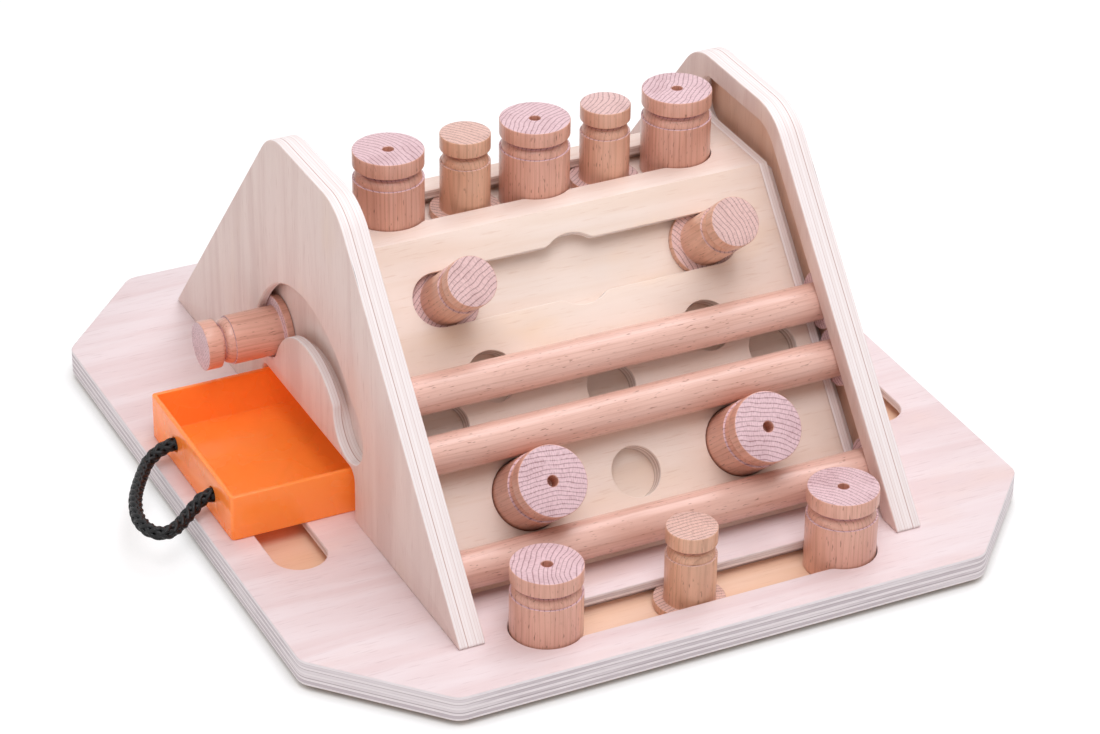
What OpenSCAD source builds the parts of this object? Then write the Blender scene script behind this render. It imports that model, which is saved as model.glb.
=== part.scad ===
// Wooden dog puzzle feeder.
// An eight-sided plywood base carries two side panels. A slope board, a flat deck and a back board
// span between them. Treats go into the cups, slots and drawers, and the dog lifts the pegs,
// pushes the sliders, rolls the rods up the slope and pulls the drawers to reach them.
// X runs across from left to right, Y from front to back, Z up. The feet stand on Z = 0.

/* [Plywood] */
// Thickness of one sheet; every board is glued up from sheets of this thickness
sheet_t = 4.5; // [3:0.1:6]

/* [Base] */
// Width of the base from left to right
base_w = 386; // [370:1:460]
// Depth of the base from front to back
base_d = 426; // [416:1:500]
// Length that each corner cut takes from the width
corner_cut_x = 54; // [30:1:60]
// Length that each corner cut takes from the depth
corner_cut_y = 58; // [30:1:70]
// Rounding of the eight corners
base_corner_r = 10; // [2:0.5:14]
// Diameter of a rubber foot
foot_d = 20; // [12:1:26]
// Height of a rubber foot
foot_h = 3; // [2:0.5:6]
// Distance of the feet from the front, back and side edges of the base
foot_inset = 62; // [50:1:74]

/* [Side panels] */
// Clear width between the two side panels
inner_w = 220; // [210:1:234]
// Depth of a panel where it stands on the base
panel_foot_w = 361; // [355:1:380]
// Depth of a panel's flat top, measured between its sharp corners
panel_top_w = 81; // [70:1:90]
// Height of a panel above the deck
panel_h = 34.5; // [32:0.5:42]
// Rounding of the two top corners
panel_top_r = 32; // [20:1:38]
// Rounding of the pointed front and back feet
panel_foot_r = 1; // [0.8:0.1:6]

/* [Roller track] */
// Width of the rim that covers the rods, in the inner sheet
rim_w = 11.2; // [8:0.1:11.4]
// Width of the rim in the core sheet, behind which the end discs run
core_rim_w = 6; // [4:0.1:6.2]
// Depth of the core track below the slope and the deck
core_step = 5.5; // [5.2:0.1:7]
// Distance of the track's back end behind the deck
track_end_y = 7; // [2:0.5:10]
// Rounding of the track's back end, as far as the end is high enough
track_end_r = 9; // [4:0.5:9.5]

/* [Slope board and deck] */
// Depth of the slope board's face behind the front edge of the side panels
slope_depth = 31; // [30.8:0.1:34]
// Height of the deck above the base
deck_h = 130.5; // [128:0.5:134]
// Distance of the deck's back edge in front of the back corner of the panels' flat top
deck_back_y = 14.5; // [11:0.5:18]
// Thickness of the back board
back_board_t = 9; // [6:0.5:12]

/* [Slots and cups] */
// Width of a slot, in which the body of a slider runs
slot_w = 27; // [26.5:0.1:28]
// Diameter of the round openings for pegs, and width of the track under a slot for the flanges
hole_d = 36; // [35.8:0.1:37]
// Rounding where a round opening runs into its slot
blend_r = 6; // [3:0.5:8]
// Diameter of a treat cup
cup_d = 25.5; // [22:0.5:27]
// Distance of the deck slot behind the middle of the deck
deck_slot_y = 1.6; // [0:0.1:3]
// Distance of the deck slot's end openings from the side panels
deck_slot_x = 31.8; // [26:0.1:33]
// Distance of the front slot's end openings from the side panels
front_slot_x = 31.4; // [26:0.1:33]
// Distance of the front slot behind the tips of the panels' feet
front_slot_y = 2; // [0:0.1:3.5]
// Distance of the slope slot's end centres from the side panels
slope_slot_x = 36.3; // [30:0.1:37.5]
// Place of the slope slot, measured up the slope
slope_slot_s = 166.5; // [165:0.5:170]
// Distance of the two side slots from the side edges of the base
side_slot_x = 34; // [29:0.5:37]
// Distance from the middle of a side slot to the centres of its ends
side_slot_y = 73.5; // [50:0.5:90]
// Place of the upper pair of cups, up the slope
cup_pair_s = 124.7; // [122:0.1:127]
// Distance of the upper pair of cups from the side panels
cup_pair_x = 52; // [40:0.5:65]
// Place of the middle row of three cups, up the slope
cup_row_s = 106.5; // [104:0.5:107]
// Distance of the outer cups of the middle row from the side panels
cup_row_x = 21; // [16:0.5:24]
// Place of the low single cup, up the slope
cup_low_s = 63.6; // [60:0.1:70]

/* [Arch slot] */
// Height of the arch's centre above the base
arch_h = 22.4; // [21.5:0.1:25]
// Radius of the arch slot's middle line
arch_r = 57.5; // [56:0.1:60]
// Angle of both ends of the arch above the level
arch_end_angle = 27; // [26:0.5:32]

/* [Pegs and sliders] */
// Diameter of a peg
peg_d = 35; // [34:0.1:35.4]
// Diameter of a slider's body
slider_d = 25; // [24:0.1:25.6]
// Diameter of a slider's flange
flange_d = 35; // [31:0.1:35.4]
// Length of a peg or a slider
piece_len = 44; // [40:0.5:48]
// Thickness of the cap above the neck
cap_t = 8; // [6:0.5:10]
// Diameter of a peg's neck
peg_neck_d = 26; // [22:0.5:30]
// Diameter of a slider's neck
slider_neck_d = 17; // [14:0.5:20]
// Height of the neck under the cap
neck_t = 2.2; // [1.5:0.1:3]
// Height of the rounded shoulder below the neck
shoulder_t = 4.6; // [3:0.1:6]
// Diameter of the turning hole in a peg's cap
turning_hole_d = 5.5; // [3:0.1:7]
// Depth of the turning hole
turning_hole_depth = 10; // [4:0.5:14]
// How far the left deck slider stands in from halfway between its pegs
deck_slider_left_x = 1.6; // [0:0.1:2.8]
// How far the right deck slider stands in from halfway between its pegs
deck_slider_right_x = 0.6; // [0:0.1:2.8]
// How far the left slope slider stands in from the end of its slot
slope_slider_left_x = 4.7; // [0.5:0.1:14]
// How far the right slope slider stands in from the end of its slot
slope_slider_right_x = 2.2; // [0.5:0.1:14]
// Distance of the slope pegs from the side panels
slope_peg_x = 52.5; // [44:0.5:60]
// Place of the slope pegs, up the slope
slope_peg_s = 66; // [65.4:0.1:68]
// Place of the front slider, left of the middle
front_slider_x = 3; // [0:0.5:30]

/* [Rods] */
// Diameter of a rod
rod_d = 19; // [17:0.1:19.2]
// Diameter of the disc on each end of a rod
disc_d = 29; // [27:0.1:29.2]

/* [Drawers] */
// Length of a drawer
drawer_len = 109; // [100:0.5:112]
// Width of a drawer
drawer_w = 107; // [96:0.5:108]
// Height of a drawer
drawer_h = 24.2; // [20:0.1:26]
// Thickness of a drawer's walls and floor
drawer_wall = 2.4; // [1.6:0.1:3.5]
// Rounding of a drawer's upright corners
drawer_r = 2; // [1:0.5:8]
// How far the left drawer stands out of its side panel
drawer_out = 60.7; // [0:0.1:70]
// How far the drawers lie behind the middle of their openings
drawer_shift = 3; // [0:0.5:3.5]
// Rounding of the upper corners of the openings that the drawers slide through
opening_r = 6; // [2:0.5:9]
// Width of a guide rail beside the drawers
guide_w = 8; // [5:0.5:12]
// Height of the guide rails and of the stop between the drawers
guide_h = 16; // [10:0.5:22]
// Diameter of the rope of a drawer pull
rope_d = 7.3; // [6:0.1:7.4]
// Distance between the two rope holes
rope_hole_gap = 50; // [49:0.5:51]
// How far the rope holes lie in front of the drawer's middle
rope_hole_shift = 3; // [0:0.5:4]
// Height of the rope holes above the base
rope_hole_h = 12.4; // [12:0.1:13]
// Diameter of the knot behind the drawer's front wall
knot_d = 11; // [9:0.5:15]
// Length of the knot
knot_len = 5; // [4:0.5:14]

/* [Screws] */
// Diameter of a screw's shank
screw_d = 3.5; // [2.5:0.1:4]
// Diameter of a screw's countersunk head
screw_head_d = 7.5; // [6:0.1:8]
// Length that a screw reaches into a side panel
screw_grip = 18; // [12:0.5:22]

/* [Clearances] */
// Gap between a piece and the surface that it rests on or turns beside
gap = 0.3; // [0.25:0.05:0.4]
// Gap on each side of a drawer in the opening that it slides through
drawer_gap = 5; // [3.5:0.1:7]
// Gap above a drawer in its opening
drawer_top_gap = 3.7; // [2:0.1:4.3]
// Gap between a drawer and the stop behind it
stop_gap = 0.5; // [0.3:0.1:2]
// Gap around a rope in its hole
rope_gap = 0.4; // [0.2:0.1:0.8]
// Gap around a screw's shank in its hole
screw_gap = 0.1; // [0.05:0.01:0.2]

/* [Hidden] */

// A cut runs this far past the faces that it opens
past = 1;
// A rounding bites this far into the openings beside it, so that their edges cross
bite = 0.03;
sheets = 3;
board_t = sheets * sheet_t;
base_top = foot_h + board_t;
inner_x = inner_w / 2;
outer_x = inner_x + board_t;
foot_y = panel_foot_w / 2;
top_y = panel_top_w / 2;
panel_rise = deck_h + panel_h;
slope_angle = atan2(panel_rise, foot_y - top_y);

// A peg or slider stands in the two upper sheets, a gap above the third
socket_depth = 2 * sheet_t - gap;
flange_t = sheet_t - 2 * gap;
neck_top = piece_len - cap_t;
neck_bottom = neck_top - neck_t;
shoulder_bottom = neck_bottom - shoulder_t;

// The rods lie on the slope board; the lower one's discs stand on the base
rod_depth = slope_depth - gap - rod_d / 2;
rod_lower_s = (disc_d / 2 + gap + rod_depth * cos(slope_angle)) / sin(slope_angle);
rod_middle_s = slope_peg_s + peg_d / 2 + gap + rod_d / 2;
rod_upper_s = rod_middle_s + disc_d + gap;
disc_x = inner_x + sheet_t + gap;
disc_t = sheet_t - 2 * gap;

// The deck starts where the slope's face ends and stops short of the panels' back corner
deck_z = base_top + deck_h;
deck_front = -foot_y + deck_h / tan(slope_angle) + slope_depth / sin(slope_angle);
deck_back = top_y - deck_back_y;
track_end = deck_back + track_end_y;
track_round = min(track_end_r, (panel_rise - rim_w - deck_h) / 2 - 1);

// Middle lines of the slots, and the places of cups and pegs, from the parts that they keep to
deck_slot_end = inner_x - deck_slot_x;
deck_slot_line = (deck_front + deck_back) / 2 + deck_slot_y;
front_slot_end = inner_x - front_slot_x;
front_slot_line = -foot_y + front_slot_y;
slope_slot_end = inner_x - slope_slot_x;
side_slot_line = base_w / 2 - side_slot_x;
cup_pair = inner_x - cup_pair_x;
cup_row = inner_x - cup_row_x;
slope_peg = inner_x - slope_peg_x;

stop_len = 2 * (outer_x - drawer_len - stop_gap);
opening_w = drawer_w + 2 * drawer_gap;
opening_h = drawer_h + gap + drawer_top_gap;
guide_y = opening_w / 2;
screw_y = [-105, 75, 145];

// Route of the rope pull: how far out of the drawer's front face, along Y from the middle between
// the rope holes, and above the base
rope_route = [
    [-drawer_wall, rope_hole_gap / 2, rope_hole_h], [2, 26, 12], [5.5, 27, 10.3], [10, 27, 8],
    [15, 24.5, 5.6], [20, 18, 4.4], [25, 10, 4.1], [30, 0.5, 4.1], [33.5, -9, 4.1],
    [35.5, -17.5, 4.1], [35.5, -25.5, 4.1], [33.5, -32, 4.1], [29.5, -35.5, 4.1],
    [24.5, -35, 4.1], [19, -31.5, 4.3], [13.5, -27.5, 5.6], [8.5, -25, 8], [4, -24.4, 11],
    [-drawer_wall, -rope_hole_gap / 2, rope_hole_h]
];
rope_sides = 10;

// ---- Points and outlines ----

// Point of the side view that lies at a depth behind the panels' front edge, h above the base
function behind_front(depth, h) =
    [-foot_y + h / tan(slope_angle) + depth / sin(slope_angle), h];

// The same for the back board, measured from its outer face
function behind_back(depth, h) =
    [deck_back + (deck_h - board_t - h) / tan(slope_angle) - depth / sin(slope_angle), h];

function unit(v) = v / norm(v);

// Arc of radius r that rounds the corner at b between the points a and c
function corner(a, b, c, r, steps) =
    r <= 0 ? [b] :
    let (u = unit(a - b))
    let (v = unit(c - b))
    let (half = acos(u * v) / 2)
    let (centre = b + unit(u + v) * r / sin(half))
    let (first = b + u * r / tan(half) - centre)
    let (last = b + v * r / tan(half) - centre)
    let (from = atan2(first.y, first.x))
    let (turn = (atan2(last.y, last.x) - from + 540) % 360 - 180)
    [for (i = [0:steps]) centre + r * [cos(from + turn * i / steps), sin(from + turn * i / steps)]];

// Outline through the points, each corner rounded by its own radius
function rounded(points, radii, steps = 10) =
    let (count = len(points))
    [for (i = [0:count - 1])
        each corner(points[(i + count - 1) % count], points[i], points[(i + 1) % count],
            radii[i], steps)];

function rectangle(x0, x1, y0, y1) = [[x0, y0], [x1, y0], [x1, y1], [x0, y1]];

// ---- Placing ----

// Extrudes a side view, drawn in Y and Z above the base, from x0 over a width
module across(x0, width) {
    translate([x0, 0, base_top]) rotate([90, 0, 90]) linear_extrude(width) children();
}

// Frame of the slope: X across, Y up the slope, Z outwards from the panels' front edge
module on_slope() {
    translate([0, -foot_y, base_top]) rotate([slope_angle, 0, 0]) children();
}

module both_sides() {
    children();
    mirror([1, 0, 0]) children();
}

// ---- Shapes that repeat ----

// Slot of a width between two end centres
module capsule(x0, x1, width) {
    translate([x0, -width / 2]) square([x1 - x0, width]);
    for (x = [x0, x1]) translate([x, 0]) circle(d = width, $fn = 64);
}

// Rounding between a round opening at the origin and its slot
module slot_blend() {
    blend_y = slot_w / 2 + blend_r - bite;
    blend_x = sqrt(pow(hole_d / 2 + blend_r - bite, 2) - pow(blend_y, 2));
    for (sx = [-1, 1]) for (sy = [-1, 1]) difference() {
        polygon([[0, 0], [sx * blend_x, 0], [sx * blend_x, sy * blend_y]]);
        translate([sx * blend_x, sy * blend_y]) circle(r = blend_r, $fn = 48);
    }
}

// Plan of a slot in a top sheet, with round openings at the places in openings
module slot_plan(half, openings) {
    capsule(-half, half, slot_w);
    for (x = openings) translate([x, 0]) {
        circle(d = hole_d, $fn = 72);
        intersection() {
            slot_blend();
            translate([-half - x, -hole_d]) square([2 * half, 2 * hole_d]);
        }
    }
}

module panel_outline() {
    polygon(rounded(
        [[-foot_y, 0], [foot_y, 0], [top_y, panel_rise], [-top_y, panel_rise]],
        [panel_foot_r, panel_foot_r, panel_top_r, panel_top_r]));
}

// Track for the rods, a rim's width inside the panel's edge and down to below the slope's face
module track_plan(rim, below, end_r) {
    end_y = track_end + below;
    polygon(rounded(
        [behind_front(rim, -past), behind_front(rim, panel_rise - rim), [end_y, panel_rise - rim],
            [end_y, deck_h - below], behind_front(slope_depth + below, deck_h - below),
            behind_front(slope_depth + below, -past)],
        [0, panel_top_r - rim, end_r, end_r, 0, 0]));
}

// Point on the arch's middle line, or at another radius
function arch_point(angle, r = arch_r) = [r * cos(angle), r * sin(angle)];

// Rounding of the arch's edge at edge_r where it runs into the front opening; side -1 is the inner
module arch_blend(side) {
    front = 180 - arch_end_angle;
    centre_r = arch_r + side * (slot_w / 2 + blend_r - bite);
    reach = hole_d / 2 + blend_r - bite;
    swing = acos((arch_r * arch_r + centre_r * centre_r - reach * reach) / (2 * arch_r * centre_r));
    difference() {
        polygon([arch_point(front), arch_point(front - swing, centre_r), arch_point(front - swing)]);
        translate(arch_point(front - swing, centre_r)) circle(r = blend_r, $fn = 48);
    }
}

// Arch of a width, with round ends
module arch_plan(width, front_d) {
    far = 2 * (arch_r + width);
    intersection() {
        difference() {
            circle(r = arch_r + width / 2, $fn = 144);
            circle(r = arch_r - width / 2, $fn = 144);
        }
        polygon([[0, 0], arch_point(arch_end_angle, far), arch_point(90, far),
            arch_point(180 - arch_end_angle, far)]);
    }
    translate(arch_point(arch_end_angle)) circle(d = width, $fn = 64);
    translate(arch_point(180 - arch_end_angle)) circle(d = front_d, $fn = 72);
}

module drawer_opening() {
    polygon(rounded(rectangle(-opening_w / 2, opening_w / 2, -past, opening_h),
        [0, 0, opening_r, opening_r], 6));
}

// Side view of one sheet of the slope board; the count of sheets above it is given
module slope_section(above) {
    upper = above * sheet_t;
    lower = upper + sheet_t;
    polygon([behind_front(slope_depth + upper, 0), behind_front(slope_depth + upper, deck_h - upper),
        behind_front(slope_depth + lower, deck_h - lower), behind_front(slope_depth + lower, 0)]);
}

// Side view of one sheet of the deck, mitred to the slope board
module deck_section(above) {
    upper = above * sheet_t;
    lower = upper + sheet_t;
    polygon([behind_front(slope_depth + upper, deck_h - upper), [deck_back, deck_h - upper],
        [deck_back, deck_h - lower], behind_front(slope_depth + lower, deck_h - lower)]);
}

// Cuts through one sheet of the slope board
module slope_cut(above) {
    on_slope() translate([0, 0, -slope_depth - (above + 1) * sheet_t - past / 2])
        linear_extrude(sheet_t + past) children();
}

module slope_cups() {
    for (x = [-cup_pair, cup_pair]) translate([x, cup_pair_s]) circle(d = cup_d, $fn = 64);
    for (x = [-cup_row, 0, cup_row]) translate([x, cup_row_s]) circle(d = cup_d, $fn = 64);
    translate([0, cup_low_s]) circle(d = cup_d, $fn = 64);
    for (x = [-slope_peg, slope_peg]) translate([x, slope_peg_s]) circle(d = hole_d, $fn = 72);
}

// ---- Base ----

module base_outline() {
    bx = base_w / 2;
    by = base_d / 2;
    cx = bx - corner_cut_x;
    cy = by - corner_cut_y;
    polygon(rounded(
        [[-cx, -by], [cx, -by], [bx, -cy], [bx, cy], [cx, by], [-cx, by], [-bx, cy], [-bx, -cy]],
        [for (i = [1:8]) base_corner_r], 6));
}

module base_sheet(level) {
    translate([0, 0, foot_h + level * sheet_t]) linear_extrude(sheet_t) difference() {
        base_outline();
        children();
    }
}

module screw_holes() {
    for (sx = [-1, 1]) for (y = screw_y)
        translate([sx * (inner_x + 1.5 * sheet_t), y]) circle(d = screw_d + 2 * screw_gap, $fn = 32);
}

module feet() {
    color("dimgray") for (sx = [-1, 1]) for (sy = [-1, 1])
        translate([sx * (base_w / 2 - foot_inset), sy * (base_d / 2 - foot_inset), 0])
            cylinder(d = foot_d, h = foot_h, $fn = 48);
}

module base_bottom_sheet() {
    color("burlywood") difference() {
        base_sheet(0) screw_holes();
        for (sx = [-1, 1]) for (y = screw_y)
            translate([sx * (inner_x + 1.5 * sheet_t), y, foot_h]) screw_head(screw_gap, past);
    }
}

module base_core_sheet() {
    color("wheat") base_sheet(1) {
        translate([0, front_slot_line]) capsule(-front_slot_end, front_slot_end, hole_d);
        both_sides() translate([side_slot_line, 0]) rotate(90) capsule(-side_slot_y, side_slot_y, hole_d);
        screw_holes();
    }
}

module base_top_sheet() {
    color("bisque") base_sheet(2) {
        translate([0, front_slot_line]) slot_plan(front_slot_end, [-front_slot_end, front_slot_end]);
        both_sides() translate([side_slot_line, 0]) rotate(90) capsule(-side_slot_y, side_slot_y, slot_w);
        screw_holes();
    }
}

// Countersunk head below a level, opened out by a gap and run a little past the face
module screw_head(extra, run) {
    head_h = (screw_head_d - screw_d) / 2;
    translate([0, 0, -run]) cylinder(d = screw_head_d + 2 * extra, h = run + 0.01, $fn = 32);
    cylinder(d1 = screw_head_d + 2 * extra, d2 = screw_d + 2 * extra, h = head_h, $fn = 32);
}

module base_screws() {
    color("silver") for (sx = [-1, 1]) for (y = screw_y)
        translate([sx * (inner_x + 1.5 * sheet_t), y, foot_h]) {
            cylinder(d1 = screw_head_d, d2 = screw_d, h = (screw_head_d - screw_d) / 2, $fn = 32);
            cylinder(d = screw_d, h = board_t + screw_grip, $fn = 32);
        }
}

// ---- Side panels, drawn for the right side; the left one is its mirror image ----

module outer_sheet() {
    across(outer_x - sheet_t, sheet_t) difference() {
        panel_outline();
        drawer_opening();
        translate([0, arch_h]) {
            arch_plan(slot_w, hole_d);
            arch_blend(-1);
            arch_blend(1);
        }
    }
}

module core_sheet() {
    difference() {
        across(inner_x + sheet_t, sheet_t) difference() {
            panel_outline();
            drawer_opening();
            translate([0, arch_h]) arch_plan(hole_d, hole_d);
            track_plan(core_rim_w, core_step, track_round + core_step);
        }
        for (y = screw_y) translate([inner_x + 1.5 * sheet_t, y, base_top - past])
            cylinder(d = screw_d + 2 * screw_gap, h = screw_grip + past + gap, $fn = 32);
    }
}

module inner_sheet() {
    across(inner_x, sheet_t) difference() {
        panel_outline();
        drawer_opening();
        track_plan(rim_w, 0, track_round);
    }
}

module left_outer_sheet() { color("moccasin") mirror([1, 0, 0]) outer_sheet(); }
module left_core_sheet() { color("wheat") mirror([1, 0, 0]) core_sheet(); }
module left_inner_sheet() { color("moccasin") mirror([1, 0, 0]) inner_sheet(); }
module right_outer_sheet() { color("moccasin") outer_sheet(); }
module right_core_sheet() { color("wheat") core_sheet(); }
module right_inner_sheet() { color("moccasin") inner_sheet(); }

// ---- Deck, slope board and back board ----

module deck_sheet(above) {
    difference() {
        across(-inner_x, inner_w) deck_section(above);
        translate([0, deck_slot_line, deck_z - (above + 1) * sheet_t - past / 2])
            linear_extrude(sheet_t + past) children();
    }
}

module deck_top_sheet() {
    color("cornsilk") deck_sheet(0) slot_plan(deck_slot_end, [-deck_slot_end, 0, deck_slot_end]);
}

module deck_core_sheet() {
    color("wheat") deck_sheet(1) capsule(-deck_slot_end, deck_slot_end, hole_d);
}

module deck_bottom_sheet() {
    color("burlywood") across(-inner_x, inner_w) deck_section(2);
}

module slope_top_sheet() {
    color("cornsilk") difference() {
        across(-inner_x, inner_w) slope_section(0);
        slope_cut(0) {
            translate([0, slope_slot_s]) slot_plan(slope_slot_end, [0]);
            slope_cups();
        }
    }
}

module slope_core_sheet() {
    color("wheat") difference() {
        across(-inner_x, inner_w) slope_section(1);
        slope_cut(1) {
            translate([0, slope_slot_s]) capsule(-slope_slot_end, slope_slot_end, hole_d);
            slope_cups();
        }
    }
}

module slope_bottom_sheet() {
    color("burlywood") across(-inner_x, inner_w) slope_section(2);
}

module back_board() {
    top = deck_h - board_t;
    color("moccasin") across(-inner_x, inner_w) polygon([behind_back(0, 0), behind_back(0, top),
        behind_back(back_board_t, top), behind_back(back_board_t, 0)]);
}

// ---- Pegs and sliders, standing on Z = 0 ----

// Rounded shoulder from the body's radius in to the neck's
function shoulder(body_r, neck_r, steps = 8) =
    [for (i = [0:steps]) [
        neck_r + (body_r - neck_r) * cos(90 * i / steps),
        shoulder_bottom + shoulder_t * sin(90 * i / steps)]];

// Outline of the head: shoulder, neck and cap with softened edges
function head(body_r, neck_r) = concat(
    shoulder(body_r, neck_r),
    [[neck_r, neck_top], [body_r - 0.4, neck_top], [body_r, neck_top + 0.4],
        [body_r, piece_len - 0.6], [body_r - 0.6, piece_len], [0, piece_len]]);

module peg() {
    color("rosybrown") difference() {
        rotate_extrude($fn = 96) polygon(concat([[0, 0], [peg_d / 2 - 0.5, 0], [peg_d / 2, 0.5]],
            head(peg_d / 2, peg_neck_d / 2)));
        translate([0, 0, piece_len - turning_hole_depth])
            cylinder(d = turning_hole_d, h = turning_hole_depth + past, $fn = 32);
    }
}

module slider() {
    color("rosybrown") rotate_extrude($fn = 96) polygon(concat(
        [[0, 0], [flange_d / 2, 0], [flange_d / 2, flange_t - 0.5], [flange_d / 2 - 0.5, flange_t],
            [slider_d / 2, flange_t]],
        head(slider_d / 2, slider_neck_d / 2)));
}

module in_deck(x) { translate([x, deck_slot_line, deck_z - socket_depth]) children(); }
module in_base(x) { translate([x, front_slot_line, base_top - socket_depth]) children(); }
module in_slope(x, s) { on_slope() translate([x, s, -slope_depth - socket_depth]) children(); }

// The right arch slider stands at the back end of its slot and points outwards
module in_arch() {
    translate([outer_x - socket_depth, arch_r * cos(arch_end_angle),
        base_top + arch_h + arch_r * sin(arch_end_angle)]) rotate([0, 90, 0]) children();
}

module deck_peg_left() { in_deck(-deck_slot_end) peg(); }
module deck_peg_middle() { in_deck(0) peg(); }
module deck_peg_right() { in_deck(deck_slot_end) peg(); }
module deck_slider_left() { in_deck(-deck_slot_end / 2 + deck_slider_left_x) slider(); }
module deck_slider_right() { in_deck(deck_slot_end / 2 - deck_slider_right_x) slider(); }
module slope_slider_left() { in_slope(-slope_slot_end + slope_slider_left_x, slope_slot_s) slider(); }
module slope_slider_right() { in_slope(slope_slot_end - slope_slider_right_x, slope_slot_s) slider(); }
module slope_peg_left() { in_slope(-slope_peg, slope_peg_s) peg(); }
module slope_peg_right() { in_slope(slope_peg, slope_peg_s) peg(); }
module base_peg_left() { in_base(-front_slot_end) peg(); }
module base_peg_right() { in_base(front_slot_end) peg(); }
module base_slider() { in_base(-front_slider_x) slider(); }
module arch_slider_left() { mirror([1, 0, 0]) in_arch() slider(); }
module arch_slider_right() { in_arch() slider(); }

// ---- Rods with their end discs ----

module rod(s) {
    color("tan") on_slope() translate([-disc_x, s, -rod_depth]) rotate([0, 90, 0])
        cylinder(d = rod_d, h = 2 * disc_x, $fn = 64);
}

module rod_discs(s) {
    color("rosybrown") both_sides() on_slope() translate([disc_x, s, -rod_depth]) rotate([0, 90, 0])
        cylinder(d = disc_d, h = disc_t, $fn = 72);
}

module rod_upper() { rod(rod_upper_s); }
module rod_middle() { rod(rod_middle_s); }
module rod_lower() { rod(rod_lower_s); }
module rod_upper_discs() { rod_discs(rod_upper_s); }
module rod_middle_discs() { rod_discs(rod_middle_s); }
module rod_lower_discs() { rod_discs(rod_lower_s); }

// ---- Drawers, drawn for the left side with the front face at X = 0 ----

module drawer() {
    half = drawer_w / 2;
    inner_r = max(drawer_r - drawer_wall, 0.5);
    color("darkorange") difference() {
        linear_extrude(drawer_h) polygon(rounded(rectangle(0, drawer_len, -half, half),
            [for (i = [1:4]) drawer_r], 8));
        translate([0, 0, drawer_wall]) linear_extrude(drawer_h) polygon(rounded(
            rectangle(drawer_wall, drawer_len - drawer_wall, -half + drawer_wall, half - drawer_wall),
            [for (i = [1:4]) inner_r], 8));
        for (sy = [-1, 1])
            translate([-past, sy * rope_hole_gap / 2 - rope_hole_shift, rope_hole_h - gap])
                rotate([0, 90, 0])
                    cylinder(d = rope_d + 2 * rope_gap, h = drawer_wall + 2 * past, $fn = 48);
    }
}

// Ring of the rope around route point i, square to the route there
function rope_ring(route, i) =
    let (last = len(route) - 1)
    let (along = i == 0 ? [-1, 0, 0] : i == last ? [1, 0, 0] : unit(route[i + 1] - route[i - 1]))
    let (side = unit(cross([0, 0, 1], along)))
    let (up = cross(along, side))
    [for (k = [0:rope_sides - 1])
        route[i] + rope_d / 2 * (side * cos(360 * k / rope_sides) + up * sin(360 * k / rope_sides))];

module rope() {
    route = [for (p = rope_route) [-p.x, p.y - rope_hole_shift, p.z - gap]];
    rings = len(route);
    points = [for (i = [0:rings - 1]) each rope_ring(route, i)];
    walls = [for (i = [0:rings - 2]) for (k = [0:rope_sides - 1])
        [i * rope_sides + k, (i + 1) * rope_sides + k,
            (i + 1) * rope_sides + (k + 1) % rope_sides, i * rope_sides + (k + 1) % rope_sides]];
    first_cap = [for (k = [0:rope_sides - 1]) k];
    last_cap = [for (k = [rope_sides - 1:-1:0]) (rings - 1) * rope_sides + k];
    color("black") polyhedron(points, concat([first_cap, last_cap], walls), convexity = 6);
}

module rope_knots() {
    color("black") for (sy = [-1, 1])
        translate([drawer_wall, sy * rope_hole_gap / 2 - rope_hole_shift, rope_hole_h - gap])
            rotate([0, 90, 0]) rotate_extrude($fn = 48) polygon([[0, 0], [rope_d / 2 + 1.5, 0],
                [knot_d / 2, knot_len * 0.3], [knot_d / 2, knot_len * 0.65], [rope_d / 2, knot_len],
                [0, knot_len]]);
}

module left_drawer_place() {
    translate([-outer_x - drawer_out, drawer_shift, base_top + gap]) children();
}

module right_drawer_place() {
    mirror([1, 0, 0]) translate([-outer_x, drawer_shift, base_top + gap]) children();
}

module drawer_left() { left_drawer_place() drawer(); }
module drawer_right() { right_drawer_place() drawer(); }
module rope_left() { left_drawer_place() rope(); }
module rope_right() { right_drawer_place() rope(); }
module rope_knots_left() { left_drawer_place() rope_knots(); }
module rope_knots_right() { right_drawer_place() rope_knots(); }

module drawer_guide_front() {
    color("burlywood") translate([-inner_x, -guide_y - guide_w, base_top]) cube([inner_w, guide_w, guide_h]);
}

module drawer_guide_back() {
    color("burlywood") translate([-inner_x, guide_y, base_top]) cube([inner_w, guide_w, guide_h]);
}

module drawer_stop() {
    color("burlywood") translate([-stop_len / 2, -guide_y, base_top]) cube([stop_len, 2 * guide_y, guide_h]);
}

feet();
base_bottom_sheet();
base_core_sheet();
base_top_sheet();
left_outer_sheet();
left_core_sheet();
left_inner_sheet();
right_outer_sheet();
right_core_sheet();
right_inner_sheet();
deck_top_sheet();
deck_core_sheet();
deck_bottom_sheet();
slope_top_sheet();
slope_core_sheet();
slope_bottom_sheet();
back_board();
deck_peg_left();
deck_peg_middle();
deck_peg_right();
deck_slider_left();
deck_slider_right();
slope_slider_left();
slope_slider_right();
slope_peg_left();
slope_peg_right();
base_peg_left();
base_peg_right();
base_slider();
arch_slider_left();
arch_slider_right();
rod_upper();
rod_middle();
rod_lower();
rod_upper_discs();
rod_middle_discs();
rod_lower_discs();
drawer_left();
drawer_right();
rope_left();
rope_right();
rope_knots_left();
rope_knots_right();
drawer_guide_front();
drawer_guide_back();
drawer_stop();
base_screws();
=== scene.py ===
"""Looks of the wooden puzzle feeder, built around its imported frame.

Lengths are in metres in the frame's axes: X to the right, Y to the back, Z up, with the feet on Z = 0.
The boards keep the shape of their solids and get softened edges. The turned pieces, the rods, the
drawers, the rope pulls, the screws and the feet are finer pieces that stand for their solids.
"""

import logging
import math
from dataclasses import dataclass, field
from enum import Enum
from functools import partial
from typing import Any, Callable, Iterable, Sequence

import bmesh
import bpy
import numpy as np
from mathutils import Matrix, Vector

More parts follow.
